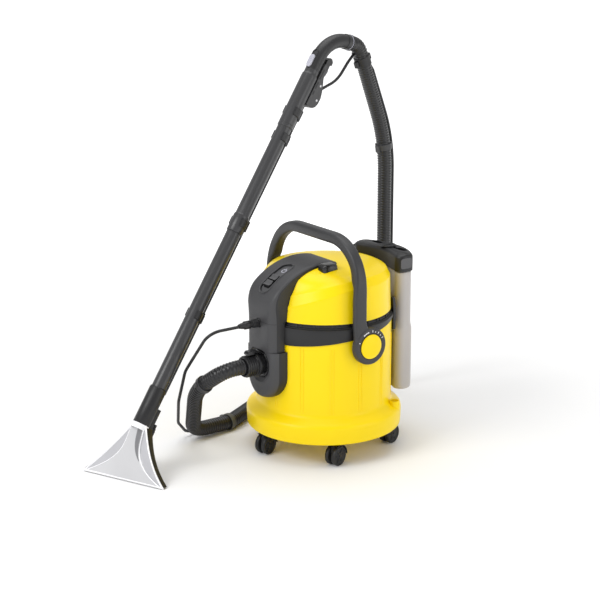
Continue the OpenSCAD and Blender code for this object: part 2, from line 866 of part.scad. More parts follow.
lie = hose_r + 1;                // height of the hose's axis where it lies on the floor
hose_path = [
    [past_grip(collar_len + 9.2), 0], [past_grip(52), 40], [in_wand_plane(400, 690), 420],
    [in_wand_plane(402, lie), 75], [[-325, 225, lie], 70], [[-318, 60, lie], 180],
    [[-203, -146, lie], 120], [[-190, -268, lie + 6], 58], [[-84, -322, 176], 150],
    [[0, -292, port_z + 1], 44], [[0, -248, port_z + 1], 0]];

module suction_hose() {
    color(black) swept_tube(hose_path, hose_r, 10, 5);
}

// Collar and spigot that turn in the grip's end
module hose_swivel() {
    color(black) wand_plane()
        translate([0, grip_end[0], grip_end[1]]) rotate([end_angle - 90, 0, 0]) difference() {
            union() {
                translate([0, 0, 1]) cylinder(r = swivel_r, h = collar_len + 2);
                translate([0, 0, collar_len + 1]) cylinder(r = 20.5, h = 8);
            }
            cylinder(r = 13.5, h = 60);
        }
}

module hose_cuff() {
    color(black) translate([0, -150, port_z]) rotate([90, 0, 0]) difference() {
        union() {
            cylinder(r = 21, h = 60);
            translate([0, 0, 40.3]) cylinder(r = 26, h = 14);
            translate([0, 0, 54]) cylinder(r = 30, h = 6);
            translate([0, 0, 60]) cylinder(r = 25, h = 30);
            for (k = [0 : 3]) translate([0, 0, 64 + 6 * k]) cylinder(r = 26.5, h = 2.5);
        }
        translate([0, 0, -1]) cylinder(r = 17, h = 80);
        translate([0, 0, 78]) cylinder(r = 20.6, h = 30);
        translate([0, 0, 66]) cylinder(r = 19.6, h = 30);
    }
}

module cuff_latch() {
    color(black) translate([0, -214, port_z + 28.4]) difference() {
        translate([-9, -18, 0]) cube([18, 30, 9]);
        // notch over the cuff's flange
        translate([-12, 2, -1]) cube([24, 10, 4]);
    }
}

clip_stations = [18, 34, 47];
module hose_clips() {
    st = stations(hose_path, 5);
    color(black) for (k = clip_stations) {
        t = st[k][1];
        side = unit(cross(t, [0.3, 0.2, 1]));
        up = cross(side, t);
        multmatrix([
            [side[0], up[0], t[0], st[k][0][0]],
            [side[1], up[1], t[1], st[k][0][1]],
            [side[2], up[2], t[2], st[k][0][2]],
            [0, 0, 0, 1]])
            translate([0, 0, -6]) ring(hose_r + 3, hose_r + 1.1, 12);
    }
}

spray_path = [
    [[0, -256, spray_z - 1], 0], [[-8, -330, spray_z - 4], 40],
    [[-78, -354, 230], 90], [[-120, -349, 140], 60], [[-182, -314, 60], 56],
    [[-222, -266, 12], 46], [[-238, -150, 8], 70], [[-346, 60, 8], 150],
    [[-360, 226, 8], 84], [in_wand_plane(434, 8), 70], [in_wand_plane(432, 690), 400],
    [in_wand_plane(349, 878), 0]];

module spray_hose() {
    color(black) swept_tube(spray_path, spray_r, 6, 4);
}

// ---------------------------------------------------------------- assembly

placed() container();
placed() container_rim();
placed() rim_gasket();
placed() inlet_housing();
placed() inlet_socket();
placed() tank_bracket();
placed() hose_cuff();
placed() cuff_latch();
placed() suction_hose();
placed() hose_swivel();
placed() hose_clips();
placed() spray_hose();
placed() caster_fork(0);  // caster_fork_1
placed() caster_fork(1);  // caster_fork_2
placed() caster_fork(2);  // caster_fork_3
placed() caster_fork(3);  // caster_fork_4
placed() caster_fork(4);  // caster_fork_5
placed() caster_axle(0);  // caster_axle_1
placed() caster_axle(1);  // caster_axle_2
placed() caster_axle(2);  // caster_axle_3
placed() caster_axle(3);  // caster_axle_4
placed() caster_axle(4);  // caster_axle_5
placed() caster_wheels(0);  // caster_wheels_1
placed() caster_wheels(1);  // caster_wheels_2
placed() caster_wheels(2);  // caster_wheels_3
placed() caster_wheels(3);  // caster_wheels_4
placed() caster_wheels(4);  // caster_wheels_5
placed() head_base();
placed() motor_hood();
placed() front_cover();
placed() switch_bezel();
placed() rocker(rocker_places[0]);  // rocker_vacuum
placed() rocker(rocker_places[1]);  // rocker_spray
placed() top_latch();
placed() filter_cassette();
placed() turbine_motor();
placed() fan_impeller();
placed() float_cage();
placed() float_ball();
placed() pump_body();
placed() spray_coupling();
placed() spray_plug();
placed() carry_handle();
placed() handle_caps();
placed() water_tank();
placed() tank_grip();
placed() tank_lid();
placed() tank_valve();
placed() grip_tube();
placed() air_slider();
placed() valve_body();
placed() spray_trigger();
placed() upper_tube();
placed() lower_tube();
placed() tube_clips();
placed() spray_pipe();
placed() nozzle_body();
placed() nozzle_cover();
placed() spray_jet();
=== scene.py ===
from math import acos, atan2, cos, exp, hypot, pi, radians, sin, sqrt, tan

import bmesh
import bpy
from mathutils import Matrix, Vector


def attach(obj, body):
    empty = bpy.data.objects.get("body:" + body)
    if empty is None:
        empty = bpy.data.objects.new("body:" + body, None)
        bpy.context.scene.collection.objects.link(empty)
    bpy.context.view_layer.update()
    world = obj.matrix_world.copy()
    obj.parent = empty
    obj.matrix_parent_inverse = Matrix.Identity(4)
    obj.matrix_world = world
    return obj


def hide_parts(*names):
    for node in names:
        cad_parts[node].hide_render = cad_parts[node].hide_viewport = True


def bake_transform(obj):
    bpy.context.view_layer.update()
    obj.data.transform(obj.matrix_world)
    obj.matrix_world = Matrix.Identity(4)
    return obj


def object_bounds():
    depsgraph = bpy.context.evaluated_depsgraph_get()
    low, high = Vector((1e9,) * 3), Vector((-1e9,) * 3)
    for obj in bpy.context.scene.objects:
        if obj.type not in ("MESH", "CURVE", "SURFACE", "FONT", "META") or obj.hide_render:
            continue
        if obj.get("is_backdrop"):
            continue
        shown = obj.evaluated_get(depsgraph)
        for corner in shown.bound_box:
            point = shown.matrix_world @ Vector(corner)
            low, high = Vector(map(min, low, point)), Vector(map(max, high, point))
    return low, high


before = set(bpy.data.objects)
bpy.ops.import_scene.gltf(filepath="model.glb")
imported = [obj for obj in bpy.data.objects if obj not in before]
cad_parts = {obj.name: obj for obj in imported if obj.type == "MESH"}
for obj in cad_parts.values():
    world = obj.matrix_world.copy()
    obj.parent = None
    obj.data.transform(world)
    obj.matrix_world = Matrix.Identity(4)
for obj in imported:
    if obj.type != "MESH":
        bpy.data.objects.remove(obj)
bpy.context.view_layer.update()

# Looks of the spray-extraction cleaner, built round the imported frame.
# Lengths in this script are millimetres above the floor; mm() turns them into the frame's metres.

FLOOR_TO_ORIGIN = 62.0           # the frame's origin is the sump's underside
TAU = 2 * pi
ROUND = 144                      # sides of the large round shells
MERGE = 2e-6                     # points closer than this, in metres, are one point
SHARP = 35                       # degrees from which an edge is shaded sharp


# ------------------------------------------------------------------ vectors and frames

def mm(p):
    return Vector((p[0] / 1000, p[1] / 1000, (p[2] - FLOOR_TO_ORIGIN) / 1000))


def smooth(t):
    t = min(1.0, max(0.0, t))
    return t * t * (3 - 2 * t)


def lerp(a, b, t):
    return a + (b - a) * t


class Place:
    """A local frame: origin and three axes, in millimetres above the floor."""

    def __init__(self, o, x, y, z):
        self.o, self.x, self.y, self.z = Vector(o), Vector(x), Vector(y), Vector(z)

    def __call__(self, x, y, z):
        return self.o + self.x * x + self.y * y + self.z * z

    def at(self, x, y, z):
        return Place(self(x, y, z), self.x, self.y, self.z)


MAIN = Place((0, 0, 0), (1, 0, 0), (0, 1, 0), (0, 0, 1))

WAND_TURN, WAND_ANGLE, GRIP_TURN = map(radians, (10, 53.2, 68.2))
WAND_OFF = -159.6
FOOT = (-340.8, 279.8)
BEND_S, BEND_R = 808.0, 92.0


def in_wand_plane(along, up, across=0.0):
    x = WAND_OFF + across
    c, s = cos(WAND_TURN), sin(WAND_TURN)
    return Vector((x * c - along * s, x * s + along * c, up))


def plane_dir(along, up):
    return in_wand_plane(along, up) - in_wand_plane(0, 0)


ACROSS = Vector((cos(WAND_TURN), sin(WAND_TURN), 0))
CA, SA = cos(WAND_ANGLE), sin(WAND_ANGLE)
WAND = Place(in_wand_plane(*FOOT), ACROSS, plane_dir(SA, -CA), plane_dir(CA, SA))
END_ANGLE = WAND_ANGLE - GRIP_TURN
GRIP_END = WAND(0, BEND_R * (1 - cos(GRIP_TURN)), BEND_S + BEND_R * sin(GRIP_TURN))
END_DIR = plane_dir(cos(END_ANGLE), sin(END_ANGLE))


def column(y, z):
    """Frame looking out of the front: local Z towards -Y, local X to +X, local Y up."""
    return Place((0, y, z), (1, 0, 0), (0, 0, 1), (0, -1, 0))


def sideways(origin, side=1):
    """Frame looking out of a side: local Z towards side * X, local X towards +Y."""
    return Place(origin, (0, 1, 0), (0, 0, side), (side, 0, 0))


def circle(r, sides):
    return [(r * cos(TAU * k / sides), r * sin(TAU * k / sides)) for k in range(sides)]


def rect(x0, y0, x1, y1):
    return [(x0, y0), (x1, y0), (x1, y1), (x0, y1)]


def ring(place, r, height, sides):
    return [place(x, y, height) for x, y in circle(r, sides)]


# ------------------------------------------------------------------ materials

def node(tree, kind, **values):
    n = tree.nodes.new(kind)
    for key, value in values.items():
        if key in n.inputs:
            n.inputs[key].default_value = value
        else:
            setattr(n, key, value)
    return n


def remap(tree, source, low, high, **values):
    """Socket whose values run from low to high as the source's do from 0 to 1."""
    n = node(tree, "ShaderNodeMapRange", **{"To Min": low, "To Max": high}, **values)
    tree.links.new(source, n.inputs["Value"])
    return n.outputs["Result"]


def plastic(name, colour, rough=0.45, grain=1400, bump=0.12, mottle=0.06, edge=1.25, coat=0.0,
            metallic=0.0, stripes=None, shine=0.5, subsurface=0.0):
    """Moulded surface: fine grain, slight mottling of colour and gloss, convex edges lightened partly as
    wear, partly as painted highlight.
    """
    m = bpy.data.materials.new(name)
    m.use_nodes = True
    t = m.node_tree
    t.nodes.clear()
    out = node(t, "ShaderNodeOutputMaterial")
    bsdf = node(t, "ShaderNodeBsdfPrincipled", **{
        "Metallic": metallic, "Coat Weight": coat, "Coat Roughness": 0.12, "Specular IOR Level": shine})
    if subsurface:
        bsdf.inputs["Subsurface Weight"].default_value = subsurface
        bsdf.inputs["Subsurface Radius"].default_value = (0.02, 0.015, 0.012)
        bsdf.inputs["Subsurface Scale"].default_value = 1.0
    place = node(t, "ShaderNodeTexCoord")
    broad = node(t, "ShaderNodeTexNoise", Scale=14.0, Detail=3.0)
    fine = node(t, "ShaderNodeTexNoise", Scale=float(grain), Detail=2.0)
    for n in (broad, fine):
        t.links.new(place.outputs["Object"], n.inputs["Vector"])
    # colour: mottled, then lifted on convex edges, partly as wear, partly as painted highlight
    pointiness = node(t, "ShaderNodeNewGeometry").outputs["Pointiness"]
    both = node(t, "ShaderNodeMath", operation="MULTIPLY")
    t.links.new(remap(t, broad.outputs["Fac"], 1 - mottle, 1 + mottle), both.inputs[0])
    t.links.new(remap(t, pointiness, 1.0, edge, **{"From Min": 0.52, "From Max": 0.62}), both.inputs[1])
    tint = node(t, "ShaderNodeVectorMath", operation="SCALE")
    tint.inputs[0].default_value = colour
    t.links.new(both.outputs["Value"], tint.inputs["Scale"])
    t.links.new(tint.outputs["Vector"], bsdf.inputs["Base Color"])
    t.links.new(remap(t, broad.outputs["Fac"], rough - 0.05, rough + 0.06), bsdf.inputs["Roughness"])
    relief = node(t, "ShaderNodeBump", Strength=bump, Distance=0.0004)
    height = fine.outputs["Fac"]
    if stripes:
        wave = node(t, "ShaderNodeTexWave", Scale=stripes[1], Distortion=0.4)
        wave.bands_direction = stripes[0]
        t.links.new(place.outputs["Object"], wave.inputs["Vector"])
        mixed = node(t, "ShaderNodeMath", operation="ADD")
        t.links.new(fine.outputs["Fac"], mixed.inputs[0])
        t.links.new(wave.outputs["Fac"], mixed.inputs[1])
        height = mixed.outputs["Value"]
    t.links.new(height, relief.inputs["Height"])
    t.links.new(relief.outputs["Normal"], bsdf.inputs["Normal"])
    t.links.new(bsdf.outputs["BSDF"], out.inputs["Surface"])
    return m


YELLOW = plastic("yellow_gloss", (0.97, 0.71, 0.0), rough=0.32, bump=0.06, mottle=0.03, edge=1.04, shine=0.28)
CHARCOAL = plastic("charcoal_satin", (0.036, 0.036, 0.038), rough=0.46, grain=2200, bump=0.16)
COLUMN = plastic("column_satin", (0.046, 0.046, 0.049), rough=0.5, grain=2200, bump=0.18)
# the handle's convex edges are lifted further, as painted highlight
HANDLE = plastic("handle_satin", (0.026, 0.026, 0.028), rough=0.42, grain=2000, bump=0.14, edge=1.6)
BLACK = plastic("black_satin", (0.007, 0.007, 0.008), rough=0.42, grain=1800, bump=0.12)
EDGE = plastic("black_edge", (0.009, 0.009, 0.010), rough=0.45, grain=1800, bump=0.12)
GLOSS_BLACK = plastic("black_gloss", (0.010, 0.010, 0.011), rough=0.25, bump=0.05, coat=0.2)
TUBE = plastic("tube_satin", (0.036, 0.036, 0.038), rough=0.3, grain=1700, bump=0.1)
GREY = plastic("grey_satin", (0.075, 0.075, 0.079), rough=0.48, grain=2200, bump=0.18)
MID_GREY = plastic("recess_grey", (0.088, 0.088, 0.093), rough=0.5, grain=2200, bump=0.18)
VALVE = plastic("valve_grey", (0.048, 0.048, 0.05), rough=0.5, grain=2200, bump=0.2)
PALE = plastic("pale_lavender", (0.42, 0.42, 0.48), rough=0.35, bump=0.06, mottle=0.04)
WHITE_INK = plastic("white_print", (0.7, 0.7, 0.72), rough=0.5, bump=0.03)
TANK = plastic("tank_smoke", (0.46, 0.435, 0.42), rough=0.3, bump=0.06, mottle=0.08, coat=0.15,
               subsurface=0.1)
# the hose's convex ribs are lifted strongly, as painted highlight
HOSE_SKIN = plastic("hose_black", (0.010, 0.010, 0.011), rough=0.3, grain=1200, bump=0.08, edge=2.6)
CLIP = plastic("clip_grey", (0.035, 0.035, 0.037), rough=0.45, grain=1800, bump=0.14)
OLIVE_CLIP = plastic("clip_olive", (0.085, 0.085, 0.07), rough=0.5, grain=1800, bump=0.14)
RUBBER = plastic("seal_rubber", (0.012, 0.012, 0.012), rough=0.7, bump=0.2)
STEEL = plastic("brushed_steel", (0.6, 0.6, 0.62), rough=0.3, metallic=1.0, bump=0.1, stripes=("Z", 900.0))
PAPER = plastic("filter_paper", (0.7, 0.68, 0.62), rough=0.85, grain=500, bump=0.5, stripes=("X", 60.0))
IVORY = plastic("float_ivory", (0.7, 0.67, 0.56), rough=0.4, bump=0.06, subsurface=0.1)
# the clear nozzle cover is drawn opaque: its pale grey is painted light seen through the cover
CLEAR = plastic("clear_cover", (0.60, 0.60, 0.615), rough=0.22, bump=0.05, mottle=0.05, coat=0.4)
# bright copy for the cover's rims, beads and collar: painted highlight
CLEAR_EDGE_HIGHLIGHT = plastic("clear_edge_highlight", (0.88, 0.88, 0.9), rough=0.15, bump=0.03, coat=0.6)
CLEAR_GREY = plastic("clear_shadow", (0.2, 0.2, 0.21), rough=0.3, bump=0.06, coat=0.3)
# darker copy for the cover's sides: painted shade
CLEAR_SIDE_SHADE = plastic("clear_side_shade", (0.50, 0.50, 0.525), rough=0.18, bump=0.05, coat=0.5)
TREAD = plastic("caster_tread", (0.008, 0.008, 0.008), rough=0.5, grain=900, bump=0.2)
GRIP_BLACK = plastic("grip_black", (0.014, 0.014, 0.015), rough=0.4, grain=1500, bump=0.14)

SLOTS = {m.name: slot for slot, group in (
    ("yellow_plastic", [YELLOW]), ("charcoal_plastic", [COLUMN, HANDLE, TUBE, VALVE]),
    ("black_plastic", [BLACK, GLOSS_BLACK, GRIP_BLACK, TREAD]), ("grey_plastic", [GREY, MID_GREY]),
    ("pale_plastic", [PALE, WHITE_INK]), ("tank_plastic", [TANK]), ("steel", [STEEL]),
    ("hose_plastic", [HOSE_SKIN, CLIP, OLIVE_CLIP]),
    ("clear_plastic", [CLEAR, CLEAR_EDGE_HIGHLIGHT, CLEAR_GREY])) for m in group}


# ------------------------------------------------------------------ mesh building

class Form:
    """Vertices and faces of one piece, in millimetres above the floor."""

    def __init__(self):
        self.points, self.faces, self.paint = [], [], []

    def grid(self, rows, ring=False, cap=False, loop=False, paint=None):
        """Rows of points joined by quads; ring closes each row, loop joins the last row to the first.

        paint(row, place in it) gives a face's material."""
        base, count, n = len(self.points), len(rows), len(rows[0])
        tint = paint or (lambda i, j: 0)
        for row in rows:
            self.points.extend(row)
        for i in range(count if loop else count - 1):
            k = (i + 1) % count
            for j in range(n if ring else n - 1):
                l = (j + 1) % n
                here, there = base + i * n, base + k * n
                self.face([here + j, here + l, there + l, there + j], tint(i, j))
        if cap:
            self.face([base + j for j in range(n)][::-1], tint(0, 0))
            self.face([base + (count - 1) * n + j for j in range(n)], tint(count - 2, 0))
        return self

    def loft(self, rows, paint=None):
        """Closed rows with a face over each end."""
        return self.grid(rows, ring=True, cap=True, paint=paint)

    def face(self, ids, paint=0):
        self.faces.append(ids)
        self.paint.append(paint)

    def lathe(self, place, profile, sides=48, span=(0.0, 360.0)):
        """Revolves a closed outline of (radius, height) points about the place's Z."""
        full = abs(span[1] - span[0]) > 359.9
        steps = sides if full else sides + 1
        rows = []
        for r, h in profile:
            row = []
            for k in range(steps):
                a = radians(lerp(span[0], span[1], k / sides))
                row.append(place(r * cos(a), r * sin(a), h))
            rows.append(row)
        base = len(self.points)
        self.grid(rows, ring=full, loop=True)
        if not full:
            for j in (0, steps - 1):
                ids = [base + i * steps + j for i in range(len(rows))]
                self.face(ids if j == 0 else ids[::-1])
        return self

    def solid(self, place, profile, sides=48):
        """Lathe of an outline that starts and ends on the axis."""
        return self.grid([ring(place, r, h, sides) for r, h in profile], ring=True)

    def rod(self, place, r, low, high, sides):
        return self.solid(place, [(0, low), (r, low), (r, high), (0, high)], sides)

    def prism(self, place, outline, z0, z1):
        """Extrudes a 2D outline along the place's Z."""
        rows = [[place(x, y, z) for x, y in outline] for z in (z0, z1)]
        return self.loft(rows)

    def block(self, place, low, high):
        (x0, y0, z0), (x1, y1, z1) = low, high
        return self.prism(place, rect(x0, y0, x1, y1), z0, z1)

    def sweep(self, stations, radius, sides):
        """Round tube along stations of (point, tangent, radius factor)."""
        rows, across = [], None
        for p, t, k in stations:
            start = across if across is not None else (
                Vector((1, 0, 0)) if abs(t.x) < 0.9 else Vector((0, 0, 1)))
            across = (start - t * start.dot(t)).normalized()
            other = t.cross(across)
            rows.append([p + (across * cos(TAU * j / sides) + other * sin(TAU * j / sides))
                         * radius * k for j in range(sides)])
        return self.loft(rows)


def add_object(name, data):
    obj = bpy.data.objects.new(name, data)
    bpy.context.scene.collection.objects.link(obj)
    return obj


def closed_mesh(name, form):
    """Mesh of a form, with its double points merged and its normals pointing out."""
    mesh = bpy.data.meshes.new(name)
    mesh.from_pydata([mm(p) for p in form.points], [], form.faces)
    for polygon, paint in zip(mesh.polygons, form.paint):
        polygon.material_index = paint
    bm = bmesh.new()
    bm.from_mesh(mesh)
    bmesh.ops.remove_doubles(bm, verts=bm.verts, dist=MERGE)
    bmesh.ops.recalc_face_normals(bm, faces=bm.faces)
    if bm.calc_volume(signed=True) < 0:
        bmesh.ops.reverse_faces(bm, faces=bm.faces)
    bm.to_mesh(mesh)
    bm.free()
    return mesh


def make(name, form, mats, body, sharp=SHARP, bevel=0.0, segments=2, slot=None, replaces=None, flat=False,
         bevel_angle=30):
    """Turns a form into a piece that rides on a body; its slot, the first material's if none is given, is
    looked up but not kept.
    """
    mats = mats if isinstance(mats, list) else [mats]
    mesh = closed_mesh(name, form)
    for m in mats:
        mesh.materials.append(m)
    for polygon in mesh.polygons:
        polygon.use_smooth = not flat
    obj = add_object(name, mesh)
    if bevel:
        b = obj.modifiers.new("edges", "BEVEL")
        b.width, b.segments, b.limit_method = bevel / 1000, segments, "ANGLE"
        b.angle_limit = radians(bevel_angle)
        b.harden_normals = True
        b.use_clamp_overlap = True
    elif not flat:
        mesh.set_sharp_from_angle(angle=radians(sharp))
    if body:
        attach(obj, body)
    slot or SLOTS[mats[0].name]
    if replaces:
        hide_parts(replaces)
    return obj


def round_outline(points, radii, steps=6):
    """2D outline with each corner rounded by its radius."""
    out, n = [], len(points)
    for i in range(n):
        p = Vector(points[i])
        a = (Vector(points[i - 1]) - p)
        b = (Vector(points[(i + 1) % n]) - p)
        la, lb = a.length, b.length
        a, b = a / la, b / lb
        r = radii[i] if isinstance(radii, (list, tuple)) else radii
        half = acos(max(-1, min(1, a.dot(b)))) / 2
        if r <= 0 or half > 1.54:
            out.append(tuple(p))
            continue
        back = min(r / tan(half), la * 0.49, lb * 0.49)
        r = back * tan(half)
        centre = p + (a + b).normalized() * (r / sin(half))
        s, e = p + a * back - centre, p + b * back - centre
        turn = atan2(s.x * e.y - s.y * e.x, s.dot(e))
        for k in range(steps + 1):
            w = turn * k / steps
            c, d = cos(w), sin(w)
            out.append((centre.x + s.x * c - s.y * d, centre.y + s.x * d + s.y * c))
    return out


def pill(w, h, r, cx=0.0, cy=0.0, steps=6):
    x, y = w / 2, h / 2
    return round_outline(rect(cx - x, cy - y, cx + x, cy + y), r, steps)


def bend(path, i):
    """Bend at a path's corner: start, then centre, incoming direction, side and radius, then the turn."""
    p, r = Vector(path[i][0]), path[i][1]
    a = (p - Vector(path[i - 1][0])).normalized()
    b = (Vector(path[i + 1][0]) - p).normalized()
    turn = acos(max(-1, min(1, a.dot(b))))
    side = (b - a * a.dot(b)).normalized()
    start = p - a * r * tan(turn / 2)
    return start, (start + side * r, a, side, r), turn


def on_bend(arc, w):
    """Point and tangent at angle w along a bend."""
    centre, a, side, r = arc
    point = centre - side * r * cos(w) + a * r * sin(w)
    return point, a * cos(w) + side * sin(w)


def path_stations(path, spacing, wave=None):
    """Even stations along a path of (corner, bend radius); wave(distance) scales the radius."""
    pieces, lengths = [], []
    here = Vector(path[0][0])
    for i in range(1, len(path) - 1):
        start, arc, turn = bend(path, i)
        pieces += [(here, arc[1]), arc]
        lengths += [(start - here).length, arc[3] * turn]
        here = on_bend(arc, turn)[0]
    last = Vector(path[-1][0])
    pieces.append((here, (last - here).normalized()))
    lengths.append((last - here).length)
    total = sum(lengths)
    count = int(total / spacing)
    out, k, done = [], 0, 0.0
    for i in range(count + 1):
        d = total * i / count
        while k < len(pieces) - 1 and d > done + lengths[k]:
            done += lengths[k]
            k += 1
        piece, u = pieces[k], d - done
        if len(piece) == 2:
            point, tangent = piece[0] + piece[1] * u, piece[1]
        else:
            point, tangent = on_bend(piece, u / piece[3])
            tangent = tangent.normalized()
        out.append((point, tangent, wave(d) if wave else 1.0))
    return out


def corner_stations(path, steps):
    """Stations (point, tangent) at the ends and along each bend of a path."""
    out = [(Vector(path[0][0]), (Vector(path[1][0]) - Vector(path[0][0])).normalized())]
    for i in range(1, len(path) - 1):
        _, arc, turn = bend(path, i)
        out += [on_bend(arc, turn * k / steps) for k in range(steps + 1)]
    return out


def hoop(inner, edge, outer, half, flat):
    """Section of a band of width 2 * half with bevelled outer edges, for lathe()."""
    return [(inner, -half), (edge, -half), (outer, -flat), (outer, flat), (edge, half), (inner, half)]


def cut(obj, *forms, solver="EXACT"):
    """Cuts closed forms out of a piece for good."""
    for form in forms:
        mesh = closed_mesh("cutter", form)
        tool = add_object("cutter", mesh)
        b = obj.modifiers.new("cut", "BOOLEAN")
        b.operation, b.object, b.solver = "DIFFERENCE", tool, solver
        bpy.context.view_layer.update()
        done = bpy.data.meshes.new_from_object(obj.evaluated_get(bpy.context.evaluated_depsgraph_get()))
        obj.modifiers.remove(b)
        done.name = obj.data.name
        obj.data = done
        bpy.data.objects.remove(tool)
        bpy.data.meshes.remove(mesh)
    obj.data.set_sharp_from_angle(angle=radians(SHARP))


# ------------------------------------------------------------------ tub

PORT_Z, COVER_FLOOR, PIVOT = 239.0, 276.5, 294.0     # suction port, foot of the cover, handle pivots
CASTER_RING = 158                                    # radius on which the casters stand
CASTERS = [(-96, 16.3), (-24, 16.3), (48, 196.3), (120, 196.3), (192, 16.3)]   # where, turned how far

tub = Form().solid(MAIN, [
    (0, 62), (100, 62), (100, 92), (166, 92), (184, 100), (187, 59), (187.5, 58), (189, 58.3),
    (190.2, 59.6), (190.8, 63), (191.5, 78), (192, 92), (191.8, 97.5), (190.8, 101.5), (189, 104.2),
    (186, 106.8), (179, 111.6), (172, 116), (168.8, 118.6), (167.2, 121.2), (166.3, 125), (166, 131),
    (165.2, 318), (165, 332), (162, 332), (163, 96), (98, 95), (97, 65), (0, 65)], ROUND)
tub = make("tub_shell", tub, YELLOW, "root", replaces="container", sharp=50)
BOSS_R, BOSS_ANGLE = 179.8, radians(38)
socket_place = MAIN.at(BOSS_R * cos(BOSS_ANGLE), BOSS_R * sin(BOSS_ANGLE), 0)
cut(tub, Form().rod(socket_place, 12.2, 98, 130, 40),
    Form().rod(column(-140, PORT_Z), 27.2, 0, 60, 48))
make("accessory_boss", Form().solid(socket_place, [
    (0, 97.5), (12.4, 97.5), (12.8, 98.5), (12.8, 122.6), (12, 123.8), (11, 124), (10.4, 123.8), (10, 123),
    (10, 104), (0, 104)], 40), YELLOW, "root")
stems = Form()
for a, _ in CASTERS:
    c, s = cos(radians(a)), sin(radians(a))
    stems.lathe(MAIN.at(CASTER_RING * c, CASTER_RING * s, 0),
                [(5.05, 60.5), (10, 60), (11, 61), (11, 92), (5.05, 92)], 28)
make("stem_bosses", stems, YELLOW, "root")

# fine mould seams in pairs down the tub's wall
seams = Form()
for a in range(-80, 270, 25):
    for shift in (-1.3, 1.3):
        w = radians(a + shift)
        out = Vector((cos(w), sin(w), 0))
        side = Vector((-out.y, out.x, 0))
        p = Place(out * 164.6, side, (0, 0, 1), out)
        seams.prism(p, rect(-0.6, 128, 0.6, 291), 0, 2.1)
make("tub_seams", seams, YELLOW, "root", bevel=0.25, segments=1)

# black rim band: its lower edge rises towards the back
rim_rows = []
profile = [(165.4, 0), (167.2, 0), (168.1, 0.35), (168.5, 1.3), (168.5, 22), (168.5, "-2.2"), (168.1, "-0.7"),
           (167, "0"), (160.4, "0"), (160, "-0.4"), (160, "-5.4"), (165.4, "-5.4")]
for r, z in profile:
    row = []
    for k in range(ROUND):
        a = TAU * k / ROUND
        low = 314 + 0.13 * r * sin(a)
        up = 338 + float(z) if isinstance(z, str) else min(low + z, 330)
        row.append((r * cos(a), r * sin(a), up))
    rim_rows.append(row)
rim = Form().grid(rim_rows, ring=True, loop=True)
for side in (-1, 1):
    hub = sideways((side * 160, 0, PIVOT), side)
    rim.lathe(hub, [(8, 7), (24, 7), (26, 7.3), (26, 8.2), (25.2, 9), (8, 9)], 40)
    rim.solid(hub, [(0, 6.5), (8, 6.5), (8, 23.6), (7.2, 24.5), (0, 24.5)], 32)
make("rim_band", rim, BLACK, "root", replaces="container_rim")

# inlet housing: round below, corners rounded towards the front
half, low_z, corner = 62.0, 214.0, 25
rows = []
for k in range(12):
    y = -100 if k == 0 else -170 if k == 1 else -170 - corner * sin(pi / 2 * (k - 1) / 10)
    t = 0 if k < 2 else corner * (1 - cos(pi / 2 * (k - 1) / 10))
    low_t = t * 0.5
    row = [(half - t, y, 276.2), (half - t, y, 245)]
    for j in range(25):
        a = -pi * j / 24
        row.append(((half - t) * cos(a), y, low_z + (half - low_t) * sin(a)))
    row += [(-(half - t), y, 245), (-(half - t), y, 276.2)]
    rows.append(row)
housing = make("inlet_housing_shell", Form().loft(rows, lambda i, j: int(i < 3)),
               [COLUMN, EDGE], "root", sharp=40, replaces="inlet_housing")
cut(housing, Form().rod(MAIN, 166.4, 100, 292, ROUND),
    Form().solid(column(-195, PORT_Z), [
        (0, -70), (33, -70), (33, -7.6), (33.6, -6.6), (36, -5.2), (40, -3), (43, -1), (44.5, 0.4), (46, 3),
        (0, 3)], 64),
    Form().block(MAIN, (-8, -230, 259), (8, -150, 290)))

port = Form().lathe(column(0, PORT_Z), [
    (21.05, 130), (27, 130), (27, 169.5), (31.6, 169.5), (32.5, 170.4), (32.5, 188), (32, 189.4), (30.8, 190),
    (23, 190), (21.6, 189.4), (21.05, 188)], 64)
port.prism(column(-180, 0), round_outline(rect(-7.5, 264, 7.5, 275.5), 2), 0, 18)
make("inlet_port", port, GLOSS_BLACK, "root", bevel=0.5, replaces="inlet_socket")

cuff = Form().lathe(column(0, PORT_Z), [
    (17, 150.5), (20.4, 150), (21, 150.6), (21, 190.3), (25.4, 190.3), (26, 191), (26, 202.6), (27, 203.8),
    (29.2, 204), (30, 204.8), (30, 209), (29.3, 210), (26, 210.4), (25, 211.4)] + [
    (r, z + 6 * k) for k in range(4) for r, z in ((25, 213.6), (26.5, 214), (26.5, 216.5), (25, 216.9))] + [
    (25, 238.6), (24, 240),
    (21.4, 240), (20.6, 239.4), (20.6, 228), (19.6, 216), (17, 215)], 64)
make("cuff_sleeve", cuff, BLACK, "root", replaces="hose_cuff", sharp=30)
make("cuff_button", Form().prism(sideways((-9, 0, 0)), [
    (-232, 267.4), (-212, 267.4), (-212, 270.4), (-202, 270.4), (-202, 274), (-205, 276.4), (-228, 276.4),
    (-232, 272)], 0, 18), GLOSS_BLACK, "cuff_catch", bevel=1.1, segments=3, replaces="cuff_latch")

# cradle and hook for the clean-water tank
cradle = Form().lathe(MAIN, [
    (168.9, 300), (173.4, 300), (174.5, 301), (174.5, 332.6), (173.4, 334), (168.9, 334)], 28,
    span=(54.5, 125.5))
make("tank_cradle", cradle, BLACK, "root", replaces="tank_bracket")
hook = Form().prism(Place((0, 132.6, 0), (1, 0, 0), (0, 0, 1), (0, 1, 0)), [
    (90, 292), (106, 292), (106, 340), (103.5, 366), (101, 374), (95.5, 374), (93, 366), (90, 340)], 0, 8.2)
make("tank_hook", hook, BLACK, "root", bevel=1.6, segments=3)

# ------------------------------------------------------------------ casters

